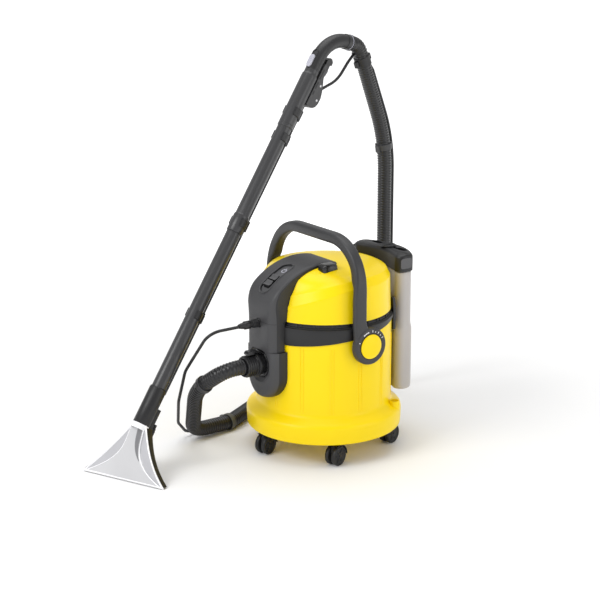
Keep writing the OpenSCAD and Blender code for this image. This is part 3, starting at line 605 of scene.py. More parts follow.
for i, (angle, turn) in enumerate(CASTERS, 1):
    a, w = radians(angle), radians(turn)
    stem = Place((CASTER_RING * cos(a), CASTER_RING * sin(a), 0), (cos(w), sin(w), 0),
                 (-sin(w), cos(w), 0), (0, 0, 1))
    hub_at = stem(0, -10, 24.5)
    wheel_place = Place(hub_at, stem.y, stem.z, stem.x)
    fork = Form()
    fork.lathe(wheel_place, hoop(26, 27.6, 28.5, 15.5, 14.6), 20, span=(-2.0, 116.0))
    side_view = round_outline([(-15, 11), (-11, -9), (11, -9), (16, 8), (18, 30), (-8, 30)], 5, 4)
    fork.prism(wheel_place, side_view, -4, 4)
    fork.solid(stem, [(0, 50.5), (9, 50.5), (9, 56.4), (8, 57), (5, 57), (5, 85), (4, 86), (0, 86)], 28)
    make(f"caster_yoke_{i}", fork, BLACK, f"caster_{i}", bevel=0.7, replaces=f"caster_fork_{i}")
    wheels = Form()
    for side in (-1, 1):
        wheels.lathe(Place(hub_at, stem.y, stem.z * side, stem.x * side), [
            (3.05, 4.6), (23.6, 4.6), (24.5, 5.6), (24.5, 12.6), (23.9, 14.1), (22.4, 15), (20.4, 15),
            (19.6, 13.4), (17, 12.6), (11, 12.4), (9, 13.2), (8.2, 14.8), (3.05, 15)], 40)
        for k in range(6):
            b = TAU * k / 6
            c, s = cos(b), sin(b)
            spoke = Place(hub_at + stem.x * side * 12.2, stem.y * c + stem.z * s, stem.z * c - stem.y * s,
                          stem.x * side)
            wheels.block(spoke, (8.4, -1.1, 0), (19.8, 1.1, 1.6))
    make(f"caster_tyres_{i}", wheels, TREAD, f"wheels_{i}", bevel=0.3, segments=1, bevel_angle=50,
         replaces=f"caster_wheels_{i}")

# ------------------------------------------------------------------ motor head


# the head's front in side view: a large circle above, a small one at the shoulder, then upright
BROW_R, BROW_Y, BROW_Z = 190, 45, 288
SHOULDER_R, FRONT_Y = 75, 195
HOOD_R = 149.4


def crown(y):
    """Height of the hood's spine."""
    if y < -BROW_Y:
        return 282 + sqrt(max(0, BROW_R ** 2 - (y + BROW_Y) ** 2))
    return 472 - 0.0004 * (y + BROW_Y) ** 2


def lower_edge(y):
    return 434 - (0.0021 * y * y if y < 0 else 0)


def upper_edge(y):
    return 451 - (0.0019 * y * y if y < 0 else 0)


# radius, shift and kind: 0 counts from the foot, 1 is a share of the wall's height, 2 and 3 count
# from the lower and the upper edge
SKIRT = [(162.4, 0, 0), (163, 0.6, 0), (162.9, 6, 0), (162, 0.3, 1), (161, 0.7, 1), (160.5, -3.2, 2),
         (160.1, -1, 2), (159.2, 0.9, 2), (157.6, 2.8, 2), (152.4, -2.2, 3), (151, -0.5, 3), (149.4, 0.8, 3)]
rows = []
for r, shift, kind in SKIRT:
    row = []
    for x, y in circle(r, ROUND):
        if kind == 0:
            z = 350 + shift
        elif kind == 1:
            z = lerp(356, lower_edge(y) - 3.2, shift)
        elif kind == 2:
            z = lower_edge(y) + shift
        else:
            z = upper_edge(y) + shift
        row.append((x, y, z))
    rows.append(row)
# the crown, as shares of its radius
for f in [0.985, 0.96, 0.93, 0.89, 0.84, 0.78, 0.71, 0.63, 0.54, 0.44, 0.33, 0.22, 0.11, 0.02]:
    row = []
    for x, y in circle(HOOD_R * f, ROUND):
        reach = sqrt(max(1, 151 ** 2 - y * y))
        low = upper_edge(y) + 1.2
        z = low + max(0, crown(y) - low) * (1 - min(1, abs(x) / reach) ** 2.5) * smooth((1 - f) / 0.12) ** 0.5
        row.append((x, y, z))
    rows.append(row)
# inner skin
for f in [0.02, 0.4, 0.75]:
    rows.append([(x, y, crown(y) - 12 if f < 0.7 else 415) for x, y in circle(149 * f, ROUND)])
for r, z in ((154, 385), (160, 350)):
    rows.append([(x, y, z) for x, y in circle(r, ROUND)])
LATCH_X, LATCH_Y = 74, -45
hood = make("hood_shell", Form().grid(rows, ring=True, loop=True), YELLOW, "head",
            replaces="motor_hood", sharp=60)
cut(hood, Form().block(MAIN, (-57.6, -240, 340), (57.6, -4.6, 520)),
    Form().prism(MAIN.at(LATCH_X, LATCH_Y, 0), pill(32, 44, 8.5), 448, 520))
tab = Form().prism(MAIN.at(LATCH_X, LATCH_Y - 26, 0), pill(20, 10, 3), 444, 462.5)
make("latch_tab", tab, YELLOW, "head", bevel=1.2, segments=3)

# vent ribs between rim and hood
ribs = Form()
for k in range(24):
    a = radians(15 * k + 4)
    out = Vector((cos(a), sin(a), 0))
    if out.y < -0.9:
        continue
    ribs.block(Place((0, 0, 0), out, (-out.y, out.x, 0), (0, 0, 1)), (158, -1.3, 341.2), (163, 1.3, 349.6))
make("vent_ribs", ribs, BLACK, "head", bevel=0.3, segments=1)


def cover_line(t):
    """Point (y, z) and outward normal on the front cover's side outline, t from 0 at its foot to 1."""
    shoulder_y = SHOULDER_R - FRONT_Y
    shoulder_z = BROW_Z + sqrt((BROW_R - SHOULDER_R) ** 2 - (shoulder_y + BROW_Y) ** 2)
    meet = atan2(shoulder_z - BROW_Z, shoulder_y + BROW_Y)
    upright = shoulder_z - COVER_FLOOR
    arc_1, arc_2 = SHOULDER_R * (pi - meet), BROW_R * (meet - radians(77.5))
    d = t * (upright + arc_1 + arc_2)
    if d < upright:
        return (-FRONT_Y, COVER_FLOOR + d), (-1, 0)
    d -= upright
    if d < arc_1:
        y, z, r, w = shoulder_y, shoulder_z, SHOULDER_R, pi - d / SHOULDER_R
    else:
        y, z, r, w = -BROW_Y, BROW_Z, BROW_R, meet - (d - arc_1) / BROW_R
    c, s = cos(w), sin(w)
    return (y + r * c, z + r * s), (c, s)


COVER_HALF, COVER_CORNER, PLUG_Z = 57, 24, 342
rows, steps = [], 72
for i in range(steps + 1):
    t = i / steps
    (y, z), (ny, nz) = cover_line(t)
    corner = lerp(COVER_CORNER, 7, smooth((t - 0.2) / 0.3))
    depth = lerp(44, 17, smooth((t - 0.5) / 0.25))
    row = []

    def at(x, down):
        row.append((x, y - ny * down, z - nz * down))

    at(-COVER_HALF, depth)
    at(-COVER_HALF, corner + 2)
    for k in range(9):
        a = pi / 2 * k / 8
        at(-COVER_HALF + corner * (1 - cos(a)), corner * (1 - sin(a)))
    for x in (-20, -10, 0, 10, 20):
        at(x, 0)
    for k in range(9):
        a = pi / 2 * (8 - k) / 8
        at(COVER_HALF - corner * (1 - cos(a)), corner * (1 - sin(a)))
    at(COVER_HALF, corner + 2)
    at(COVER_HALF, depth)
    rows.append(row)
count = len(rows[0])


def cover_paint(i, j):
    return 1 if j <= 3 or j >= count - 5 else 0


cover = Form().loft(rows, cover_paint)
cover = make("front_cover_shell", cover, [COLUMN, EDGE], "head", replaces="front_cover", sharp=50)

# the joint line across the cover, level with the hood's lower edge
rows = []
outline = [(-COVER_HALF, 40), (-COVER_HALF, 26)]
for k in range(9):
    a = pi / 16 * k
    outline.append((-COVER_HALF + COVER_CORNER * (1 - cos(a)), COVER_CORNER * (1 - sin(a))))
outline += [(-x, down) for x, down in reversed(outline)]
for i, (x, down) in enumerate(outline):
    (x0, d0), (x1, d1) = outline[max(i - 1, 0)], outline[min(i + 1, len(outline) - 1)]
    size = hypot(x1 - x0, d1 - d0)
    nx, ny = (d1 - d0) / size, -(x1 - x0) / size
    rows.append([(x + nx * t, -FRONT_Y + down + ny * t, z)
                 for t, z in ((0.12, 347), (0.12, 347.9), (-0.8, 347.9), (-0.8, 347))])
make("cover_seam", Form().loft(rows), BLACK, "head", flat=True)

SWITCH_Y = -145.7
tilt = radians(32.005)
SWITCH = Place((0, SWITCH_Y, BROW_Z + sqrt(BROW_R ** 2 - (SWITCH_Y + BROW_Y) ** 2)), (1, 0, 0),
               (0, cos(tilt), sin(tilt)), (0, -sin(tilt), cos(tilt)))


def sag(y):
    """How far the curved face lies below the switch frame's plane."""
    return BROW_R - sqrt(BROW_R ** 2 - y * y)


def pill_slab(width, y0, y1, low, high, follow_top=True):
    """Pill-shaped slab that follows the curved face between depths low and high."""
    rows = []
    r = width / 2
    for k in range(41):
        w = pi * k / 40
        y = lerp(y0, y1, (1 - cos(w)) / 2)
        near = min(y - y0, y1 - y)
        x = r if near >= r else sqrt(max(0.05, r * r - (r - near) ** 2))
        top = high - sag(y) if follow_top else high
        row = [SWITCH(x * (2 * j / 8 - 1), y, low - sag(y)) for j in range(9)]
        row += [SWITCH(x * (1 - 2 * j / 8), y, top) for j in range(9)]
        rows.append(row)
    return Form().loft(rows)


cut(cover, Form().rod(MAIN, 169, 200, 350, ROUND),
    pill_slab(40, -51, 53, -7.2, 30, follow_top=False),
    Form().prism(SWITCH, pill(36.6, 78.6, 16), -30, 0),
    Form().rod(column(-150, PLUG_Z), 12.3, 0, 60, 40))
cover.data.materials.append(MID_GREY)

recess = make("switch_panel", pill_slab(39.4, -50.7, 52.7, -7.1, -5.2), MID_GREY, "head",
              replaces="switch_bezel", sharp=40)
cut(recess, *[Form().block(SWITCH.at(0, y, 0), (-13.2, -9.9, -30), (13.2, 9.9, 10)) for y in (-24, -4)])
make("switch_well", Form().block(SWITCH.at(0, -14, 0), (-15.5, -21.5, -15.4), (15.5, 21.5, -13.4)), BLACK,
     "head", bevel=0.6)
lip = []
for k in range(97):
    w = TAU * k / 96
    x, y = 20 * cos(w), sin(w)
    straight = 0 if abs(y) <= 1e-6 else 32 if y > 0 else -32
    y = 1 + straight + 20 * y
    lip.append(SWITCH(x, y, -sag(y) - 0.2))
ring_rows = []
for k in range(96):
    p, q = lip[k], lip[(k + 1) % 96]
    t = (q - lip[k - 1]).normalized()
    side = t.cross(SWITCH.z).normalized()
    up = side.cross(t)
    lift = 1.0 + 0.8 * smooth((Vector(p) - SWITCH.o).dot(SWITCH.x) / 20 * 0.5 + 0.5)
    ring_rows.append([p + (side * cos(TAU * j / 12) * 2.0 + up * sin(TAU * j / 12) * 1.5 * lift)
                      for j in range(12)])
make("switch_lip", Form().grid(ring_rows, ring=True, loop=True), COLUMN, "head")

for name, body, y, cad_node in (("key_vacuum", "rocker_a", -24, "rocker_vacuum"),
                                ("key_spray", "rocker_b", -4, "rocker_spray")):
    side = Place(SWITCH(-12.5, y, 0), SWITCH.y, SWITCH.z, SWITCH.x)
    outline = [(-8.8, -10.6), (8.8, -10.6), (8.8, 1.2), (6.4, 1.9), (3, 0.6), (-2, 0.2), (-6, 1.0),
               (-8.8, 2.6)]
    key = Form().prism(side, outline, 0, 25)
    # top faces take the grey; the key's sides and ends take the black as painted shade
    for i in range(len(key.faces)):
        mid = sum((key.points[v] for v in key.faces[i]), Vector()) / len(key.faces[i])
        key.paint[i] = 1 if (mid - SWITCH.o).dot(SWITCH.z) > 0.1 and len(key.faces[i]) == 4 else 0
    make(name, key, [BLACK, GREY], body, bevel=1.0, segments=3, replaces=cad_node)

# generic power mark: an open ring with a bar
mark = Form()
mark_at = SWITCH.at(0, 27, -5.2 - sag(27) + 0.3)
mark_at = Place(mark_at.o, mark_at.x, SWITCH.y * cos(0.14) - SWITCH.z * sin(0.14),
                SWITCH.z * cos(0.14) + SWITCH.y * sin(0.14))
mark.lathe(mark_at, rect(5.6, -0.6, 7.4, 0.4), 28, span=(125, 415))
mark.block(mark_at, (-0.9, 2, -0.6), (0.9, 9.4, 0.4))
make("power_mark", mark, PALE, "head", slot="grey_plastic")

knob_rows = []
for z, k in [(457, 1), (473.6, 1), (476.6, 0.955), (478.6, 0.86), (479.6, 0.72), (480, 0.4), (480.1, 0.02)]:
    knob_rows.append([(LATCH_X + x * k, LATCH_Y + y * k, z) for x, y in pill(30, 42, 7.5, steps=5)])
make("latch_knob", Form().loft(knob_rows), GLOSS_BLACK, "latch",
     replaces="top_latch", sharp=28)

make("spray_socket", Form().lathe(column(0, PLUG_Z), [
    (7.35, 181), (11.5, 181), (12, 181.6), (12, 196.4), (11.2, 198), (8.4, 198), (7.35, 197)], 36),
    GLOSS_BLACK, "head", replaces="spray_coupling")
plug = Form().solid(column(0, PLUG_Z), [
    (0, 186), (6.6, 186), (7.3, 187), (7.3, 198.4), (10.2, 198.4), (10.5, 199), (10.5, 202), (9.8, 202.6),
    (9.8, 204), (10.5, 204.6), (10.5, 207.6), (9.8, 208.2), (9.8, 209.6), (10.5, 210.2), (10.5, 213.8),
    (9.6, 214.8), (8, 215), (8, 220), (9.4, 220.4), (10, 221.4), (10, 235.4), (9.2, 236.4), (8, 237),
    (7, 244), (5, 252), (0, 252)], 36)
make("spray_plug_body", plug, BLACK, "head", replaces="spray_plug", sharp=40)

# ------------------------------------------------------------------ carry handle

BAR_F, BAR_B = -38.0, -10.0


def bow_section(centre, out, thick, y0, y1, shift):
    """Rounded section of the bow: out points away from the bow, shift keeps the outer face in place."""
    pts = round_outline(rect(-thick / 2, y0, thick / 2, y1), min(7.5, thick * 0.42), 4)
    return [centre + out * (u + shift) + Vector((0, v, 0)) for u, v in pts]


rows = []
path = []
for k in range(15):
    path.append((-172.5, lerp(PIVOT + 14, 438, k / 14), -1, 0))
for k in range(1, 17):
    a = pi / 2 * k / 16
    path.append((-70.5 - 102 * cos(a), 438 + 102 * sin(a), -cos(a), sin(a)))
path += [(-35, 540, 0, 1), (0, 540, 0, 1)]
path += [(-x, z, -ox, oz) for x, z, ox, oz in reversed(path[:-1])]
for x, z, ox, oz in path:
    low = smooth((462 - z) / 30)
    thick = lerp(26, 15.6, low)
    up = z - PIVOT
    back = lerp(BAR_B, 12, smooth((60 - up) / 46))
    front = lerp(BAR_F, -46, smooth((500 - z) / 90)) + 3 * smooth((60 - up) / 46)
    rows.append(bow_section(Vector((x, 0, z)), Vector((ox, 0, oz)), thick, front, back, (26 - thick) / 2))
bow = Form().loft(rows)
for side in (-1, 1):
    bow.lathe(sideways((0, 0, PIVOT), side), [
        (8.05, 170.2), (43.4, 170.2), (45, 171.6), (45, 184.2), (44, 186.4), (42, 187.5), (32.6, 187.5),
        (31.4, 186.8), (31, 186), (16, 186), (16, 180), (8.05, 180)], 64)
make("handle_bow", bow, HANDLE, "handle", replaces="carry_handle", sharp=38)

# angle, inner and outer radius, half width
TICKS = [(158, 35, 38.5, 1), (122, 35.6, 38, 3), (114, 35.6, 38, 3), (106, 35.6, 38, 3), (84, 35, 40, 0.7),
         (70, 35, 38, 0.7), (56, 35, 40, 0.7), (42, 35, 38, 0.7), (28, 35, 40, 0.7)]
caps, ticks = Form(), Form()
for side in (-1, 1):
    cap_at = sideways((0, 0, PIVOT), side)
    caps.solid(cap_at, [(0, 187.1), (29.8, 187.1), (30, 188), (29.6, 189), (28.4, 189.9), (24, 191.3),
                        (18, 192.5), (10, 193.5), (0, 193.9)], 64)
    for deg, near, far, half in TICKS:
        b = radians(side * deg)
        c, s = cos(b), sin(b)
        out = Place(cap_at.o, cap_at.x * c + cap_at.y * s, cap_at.y * c - cap_at.x * s, cap_at.z)
        ticks.block(out, (near, -half, 187.2), (far, half, 187.75))
make("lobe_caps", caps, YELLOW, "handle", replaces="handle_caps", sharp=30)
make("lobe_ticks", ticks, WHITE_INK, "handle")

# ------------------------------------------------------------------ clean-water tank


TANK_HALF, TANK_FRONT_R = 97, 176.5       # half width; radius of the side against the tub
TANK_BACK_R, TANK_BACK_Y = 160, 72        # radius and centre of the side away from it
TANK_EDGE_R = 17.0                        # radius of the upright edges
TANK_TOE_Y, TANK_TOE_ANGLE = 207 - 2.5, radians(30)    # the tank's back is cut away below


def tank_outline(t):
    """Plan of the tank, set in by t, with round upright edges."""
    out = []
    r = TANK_EDGE_R
    cx = TANK_HALF - t - r
    for side in (1, -1):
        cf = sqrt((TANK_FRONT_R + t + r) ** 2 - cx * cx)
        cb = TANK_BACK_Y + sqrt((TANK_BACK_R - t - r) ** 2 - cx * cx)
        a_in = atan2(-cf, -cx) + TAU          # towards the tub's axis
        a_out = atan2(cb - TANK_BACK_Y, cx)
        front = [(cx + r * cos(a), cf + r * sin(a))
                 for a in (lerp(a_in, TAU, k / 8) for k in range(9))]
        back = [(cx + r * cos(a), cb + r * sin(a))
                for a in (lerp(0, a_out, k / 8) for k in range(9))]
        quarter = front + back
        if side == -1:
            quarter = [(-x, y) for x, y in reversed(quarter)]
        out.append(quarter)
    right, left = out
    bl, br = left[0], right[-1]
    a0, a1 = atan2(br[1] - TANK_BACK_Y, br[0]), atan2(bl[1] - TANK_BACK_Y, bl[0])
    back_r, front_r = TANK_BACK_R - t, TANK_FRONT_R + t
    back_arc = [(back_r * cos(a), TANK_BACK_Y + back_r * sin(a))
                for a in (lerp(a0, a1, k / 16) for k in range(1, 16))]
    fr, fl = right[0], left[-1]
    b0, b1 = atan2(fl[1], fl[0]), atan2(fr[1], fr[0])
    front_arc = [(front_r * cos(a), front_r * sin(a))
                 for a in (lerp(b0, b1, k / 12) for k in range(1, 12))]
    return right + back_arc + left + front_arc


rows = []
for z, t in [(124, 9), (124.8, 5.5), (127, 2.4), (131, 0.6), (137, 0), (160, 0), (182, 0), (200, 0),
             (240, 0), (276, 0), (284, 0.3), (289, 1.4), (295, 2.7), (303, 3), (350, 3), (400, 3),
             (424, 3), (426.5, 3.6), (428.6, 6), (429, 10)]:
    slope = TANK_TOE_Y + (z - 124) * tan(TANK_TOE_ANGLE)
    rows.append([(x, min(y, slope), z) for x, y in tank_outline(t)])
tank = make("tank_shell", Form().loft(rows), TANK, "tank",
            replaces="water_tank", sharp=42)
hook_gap = round_outline(rect(88.5, 120, 110, 147.5), 2, 3)
cut(tank, Form().prism(MAIN, hook_gap, 286, 440),
    Form().rod(MAIN.at(0, 193, 0), 7.9, 100, 136, 32), solver="MANIFOLD")
rows = []
for z, t in [(429.3, 1.2), (430.4, 0), (464, 0), (467.5, 0.8), (470.4, 2.6), (472.4, 5.2), (473.3, 8.5)]:
    rows.append([(x, y, z) for x, y in tank_outline(t)])
grip = make("tank_cap", Form().loft(rows), BLACK, "tank",
            replaces="tank_grip", sharp=42)
FILLER = MAIN.at(0, 198, 0)
cut(grip, Form().rod(FILLER, 15.4, 440, 490, 48),
    *[Form().prism(MAIN.at(side * 48, 203, 0), pill(34, 16, 7), 446, 490) for side in (-1, 1)],
    solver="MANIFOLD")
panel = Form()
for side in (-1, 1):
    panel.prism(Place((side * 96.6, 178, 451), (0, 1, 0), (0, 0, 1), (side, 0, 0)), pill(34, 26, 7), 0, 1.2)
make("tank_cap_ends", panel, GREY, "tank", bevel=0.5)

lid = Form().solid(FILLER, [
    (0, 469.8), (14.8, 469.8), (14.8, 473.6), (19.4, 473.6), (20, 474.2), (20, 476.4), (19.2, 477.4),
    (16.4, 477.6), (15.6, 476.6), (3, 476.4), (0, 476.4)], 56)
lid.block(FILLER, (-2.2, -15, 475), (2.2, 15, 477.5))
lid.block(MAIN, (-7, 171, 474.3), (7, 182, 476.8))
lid.rod(sideways((-7, 170, 475.6)), 1.9, 0, 14, 20)
make("lid_disc", lid, BLACK, "lid", bevel=0.4, replaces="tank_lid")

# ------------------------------------------------------------------ wand

make("wand_lower", Form().lathe(WAND, [
    (16, -150), (17.4, -150), (18, -149.2), (18, 316.5), (17.6, 317.4), (17.6, 352), (16, 352)]),
    TUBE, "wand", replaces="lower_tube")
make("wand_upper", Form().lathe(WAND, [
    (18.15, 318), (19.2, 318), (20, 319.2), (20, 361.5), (19.6, 363), (18.6, 365.4), (18, 366.4),
    (18, 609.5), (17.8, 652), (16, 652), (16, 354), (18.15, 354)]), TUBE, "wand", replaces="upper_tube")

# grip: sleeve, bend and collar in one sweep
GRIP_R, GRIP_BORE, GRIP_SIDES = 18, 16, 40
rows, paints = [], []
inner = [(18.15, 611.2), (19.2, 611), (20, 612), (20, 617.6), (19.4, 618.2), (19.4, 619.8), (20, 620.4),
         (20, 756), (19.6, 758.6), (18.6, 760.6), (18, 762)]
for r, s in inner:
    rows.append(ring(WAND, r, s, GRIP_SIDES))
    paints.append(0)
for s in (766, 771.6, 772.4, 790, BEND_S):
    rows.append(ring(WAND, GRIP_R, s, GRIP_SIDES))
    paints.append(0 if s < 772 else 1)


def bend_frame(w):
    """Section frame at angle w round the grip's bend."""
    o = WAND(0, BEND_R * (1 - cos(w)), BEND_S + BEND_R * sin(w))
    z = WAND.z * cos(w) + WAND.y * sin(w)
    y = WAND.y * cos(w) - WAND.z * sin(w)
    return Place(o, ACROSS, y, z)


for k in range(1, 25):
    rows.append(ring(bend_frame(GRIP_TURN * k / 24), GRIP_R, 0, GRIP_SIDES))
    paints.append(1)
END = bend_frame(GRIP_TURN)
for r, d in [(18.4, -1.6), (19.5, -0.6), (19.5, 10.8), (18.8, 12), (16.55, 12), (16.55, -1)]:
    rows.append(ring(END, r, d, GRIP_SIDES))
    paints.append(1)
for k in range(23, -1, -1):
    rows.append(ring(bend_frame(GRIP_TURN * k / 24), GRIP_BORE, 0, GRIP_SIDES))
    paints.append(1)
for r, s in [(GRIP_BORE, 655), (18.15, 654)]:
    rows.append(ring(WAND, r, s, GRIP_SIDES))
    paints.append(1)
grip = Form().grid(rows, ring=True, loop=True, paint=lambda i, j: paints[i])
grip = make("grip_shell", grip, [TUBE, GRIP_BLACK], "wand", replaces="grip_tube")
face = Place(WAND(0, 0, 791), ACROSS, WAND.z, -WAND.y)
cut(grip, Form().prism(face, pill(16, 56, 7.9, 0, 8), 16.8, 30))

# air slider: ribbed pill on the grip's face
rows = [[face(x * k, y * k, z) for x, y in pill(15, 34, 7.4, steps=6)]
        for z, k in [(17, 1), (21.2, 1), (22.6, 0.93), (23.2, 0.82), (23.2, 0.02)]]
slider = Form().loft(rows)
for k in range(5):
    w = 9 if abs(k - 2) == 2 else 11
    slider.solid(Place(face(-w / 2, -10 + 5 * k, 23.1), face.y, face.z, face.x),
                 [(0, 0), (0.5, 0.1), (0.75, 0.7), (0.75, w - 0.7), (0.5, w - 0.1), (0, w)], 10)
make("slider_pad", slider, PALE, "slider", replaces="air_slider", sharp=30)
rows = [[face(x * k, y * k2, z) for x, y in pill(17.6, 53, 8.6, 0, 7.4, steps=6)]
        for z, k, k2 in [(16.6, 1, 1), (18.4, 1, 1), (18.9, 0.97, 0.985), (18.9, 0.885, 0.955),
                         (16.6, 0.885, 0.955)]]
make("slider_frame", Form().grid(rows, ring=True, loop=True), GRIP_BLACK, "wand")


def wand_side(across):
    """Frame in the wand's side view: local X out of its face, local Y along it, local Z across."""
    return Place(WAND(across, 0, 0), WAND.y, WAND.z, ACROSS)


def cheek(side, across):
    """The same for either side of the wand, looking outwards."""
    return Place(ACROSS * side * across + WAND.o, WAND.y, WAND.z, ACROSS * side)


# valve body: outline in (h, s) extruded across the wand
valve_line = [(20.6, 694), (25, 690), (43, 692), (52, 700), (56.2, 712), (56.4, 728), (51, 744), (43, 760),
              (36.6, 771), (33, 788), (31, 804), (20.6, 806), (20.6, 771)]
valve_line = round_outline(valve_line, [0, 3, 9, 12, 12, 12, 14, 12, 10, 8, 3, 1, 0], 4)
valve = Form().prism(wand_side(-13), valve_line, 0, 26)
make("valve_shell", valve, VALVE, "wand", bevel=3.0, segments=4, bevel_angle=50, replaces="valve_body")
trim = Form()
for side in (-1, 1):
    out = Place(WAND(0, 0, 0), WAND.y * side, WAND.z, ACROSS * side)
    for h, s in ((46, 716), (37, 752)):
        trim.solid(out.at(h * side, s, 0), [
            (0, 12.5), (3.1, 12.5), (3.1, 13.4), (2.5, 13.9), (0.9, 13.9), (0.8, 13.5), (0, 13.5)], 20)
make("valve_screws", trim, STEEL, "wand")
strip = Form()
for side in (-1, 1):
    strip.prism(cheek(side, 12.8), round_outline(
        [(15.5, 688), (24, 686), (25, 700), (25, 796), (22, 802), (15.5, 802)], 3, 3), 0, 4.6)
make("grip_bracket", strip, VALVE, "wand", bevel=1.2, segments=3)
# the bracket's slots, drawn as thin black pills on its cheeks: painted shade
windows = Form()
for side in (-1, 1):
    for s, long in ((724, 11), (745, 19), (776, 28)):
        windows.prism(cheek(side, 17.2), pill(4.2, long, 1.5, 20.3, s, 3), 0, 0.5)
make("bracket_slot_shade", windows, BLACK, "wand")
trigger = Form().prism(wand_side(-6), round_outline(
    [(26.4, 817), (33.6, 819.6), (40, 812), (46, 798), (44, 784), (39, 776.4), (34.4, 776), (30.8, 786),
     (27.4, 800)], [3, 4, 6, 8, 6, 3, 2, 6, 8], 4), 0, 12)
hood_block = Form().prism(wand_side(-9), round_outline(
    [(24.6, 797), (35, 789), (41, 803), (40.5, 812), (46, 815), (45.6, 824), (38, 830), (30, 829),
     (24.6, 820)], [3, 2, 2, 1.5, 2, 3, 4, 5, 4], 4), 0, 18)
make("trigger_hood", hood_block, GLOSS_BLACK, "trigger", bevel=1.2, segments=3, bevel_angle=50)
make("trigger_lever", trigger, MID_GREY, "trigger", bevel=1.6, segments=3, bevel_angle=50,
     replaces="spray_trigger")

pipe = Form().solid(WAND.at(0, 26.2, 0), [
    (0, -108), (3.1, -108), (3.5, -107), (3.5, 687), (3.1, 688), (0, 688)], 20)
make("spray_line", pipe, BLACK, "wand", replaces="spray_pipe")
clips, panes = Form(), Form()
for s in (95, 345, 585, 655):
    r = 20.0 if s > 600 or 318 < s < 366 else 18.0
    at_clip = WAND.at(0, 0, s)
    clips.lathe(at_clip, [
        (r + 0.25, -10.2), (r + 1.8, -10.8), (r + 2.6, -9.8), (r + 2.6, 9.8), (r + 1.8, 10.8),
        (r + 0.25, 10.2)], 30, span=(-34, 214))
    clips.prism(at_clip, round_outline([
        (-6.4, r + 1.4), (6.4, r + 1.4), (6.4, 27), (4.4, 31.4), (-4.4, 31.4), (-6.4, 27)], 1.6, 3), -11, 11)
    for side in (-1, 1):
        clips.block(at_clip, (side * (r - 5.5) - 1.6, 13.5, -14), (side * (r - 5.5) + 1.6, 20.5, 14))
    for d in (-7.5, 7.5):
        panes.block(at_clip, (-3, 31.0, d - 1.3), (3, 31.8, d + 1.3))
make("pipe_clips", clips, BLACK, "wand", bevel=0.5, replaces="tube_clips")
make("clip_windows", panes, PALE, "wand", bevel=0.2, segments=1)

# ------------------------------------------------------------------ nozzle

NECK_S, MOUTH_Y, MOUTH_TURN = -204.0, -514.0, radians(14)
NECK_HALF, MOUTH_HALF = 20.5, 118          # half widths of the fan
BEAD_AT = 0.985                            # where the fan's beads run, as a share of its size
NECK = (FOOT[0] + (NECK_S + 8) * CA, FOOT[1] + (NECK_S + 8) * SA)


def fan(u, t, d, out=None):
    """Point on the fan: u across -1..1, t from neck to mouth, d out of the front face."""
    turn = MOUTH_TURN * t
    c, s = cos(turn), sin(turn)
    along = plane_dir(1, 0)
    ahead = along * c - ACROSS * s
    across = ACROSS * c + along * s
    start = in_wand_plane(NECK[0] - 5.5, NECK[1] + 4)
    mouth = in_wand_plane(MOUTH_Y, 3.6) - ahead * 10
    rise = CA if out is None else out
    side = ACROSS.lerp(across, t).normalized() * (u * fan_width(t))
    return start.lerp(mouth, t) + side + (ahead * -SA + Vector((0, 0, rise))) * d


def fan_width(t):
    return lerp(NECK_HALF, MOUTH_HALF, t) - 4.0 * sin(pi * t)


def channel(t):
    """Half width of the raised middle channel as a share of the fan's."""
    return lerp(0.92, 0.93, t) - 0.52 * sin(pi * min(1, t * 1.02)) ** 0.9 * (1 - 0.25 * t)


def cover_height(u, t):
    inside = channel(t)
    lift = lerp(5.5, 2.2, smooth(t)) * smooth((inside - abs(u)) / 0.10 + 0.5)
    return -3.2 + lift + 1.0 * (1 - u * u)


us = sorted({round(-1 + k / 20, 3) for k in range(41)})
rows = []
for i in range(41):
    t = i / 40
    row = [fan(u, t, cover_height(u, t)) for u in us]
    row += [fan(u, t, cover_height(u, t) - 2.2) for u in reversed(us)]
    rows.append(row)


# paints the opaque cover: 0 the channel in painted light, 1 the rims in painted highlight, 2 the sides in
# painted shade
def cover_tint(i, j):
    u = us[j] + 0.025 if j < len(us) else 0
    t = (i + 0.5) / 40
    if j >= len(us) or abs(u) > 0.965 or t < 0.03 or t > 0.985:
        return 1
    return 0 if abs(u) < channel(t) else 2


window = Form().loft(rows, cover_tint)
make("nozzle_window", window, [CLEAR, CLEAR_EDGE_HIGHLIGHT, CLEAR_SIDE_SHADE], "wand", replaces="nozzle_cover", sharp=60)


def bead(form, points, radius):
    """Adds a thin round bead along points."""
    stations = []
    for k, p in enumerate(points):
        t = (points[min(k + 1, len(points) - 1)] - points[max(k - 1, 0)]).normalized()
        stations.append((p, t, 1.0))
    form.sweep(stations, radius, 10)


# beads along the cover's edges, in the bright painted highlight
edges = Form()
for side in (-1, 1):
    bead(edges, [fan(side * BEAD_AT, k / 20, cover_height(side, k / 20) - 0.6) for k in range(21)], 1.9)
    bead(edges, [fan(side * channel(k / 30), k / 30, cover_height(side * channel(k / 30), k / 30) + 0.5)
                 for k in range(1, 30)], 1.25)
bead(edges, [fan(-BEAD_AT + 1.97 * k / 20, BEAD_AT, -1.6) for k in range(21)], 2.4)
make("nozzle_beads", edges, CLEAR_EDGE_HIGHLIGHT, "wand")
# collar in the same painted highlight
collar = Form().lathe(WAND, [
    (21.2, -209), (22.2, -209), (22.8, -208), (22.8, -197), (22.2, -196), (21.2, -196)], 30, span=(160, 380))
make("nozzle_collar", collar, CLEAR_EDGE_HIGHLIGHT, "wand", bevel=0.5)
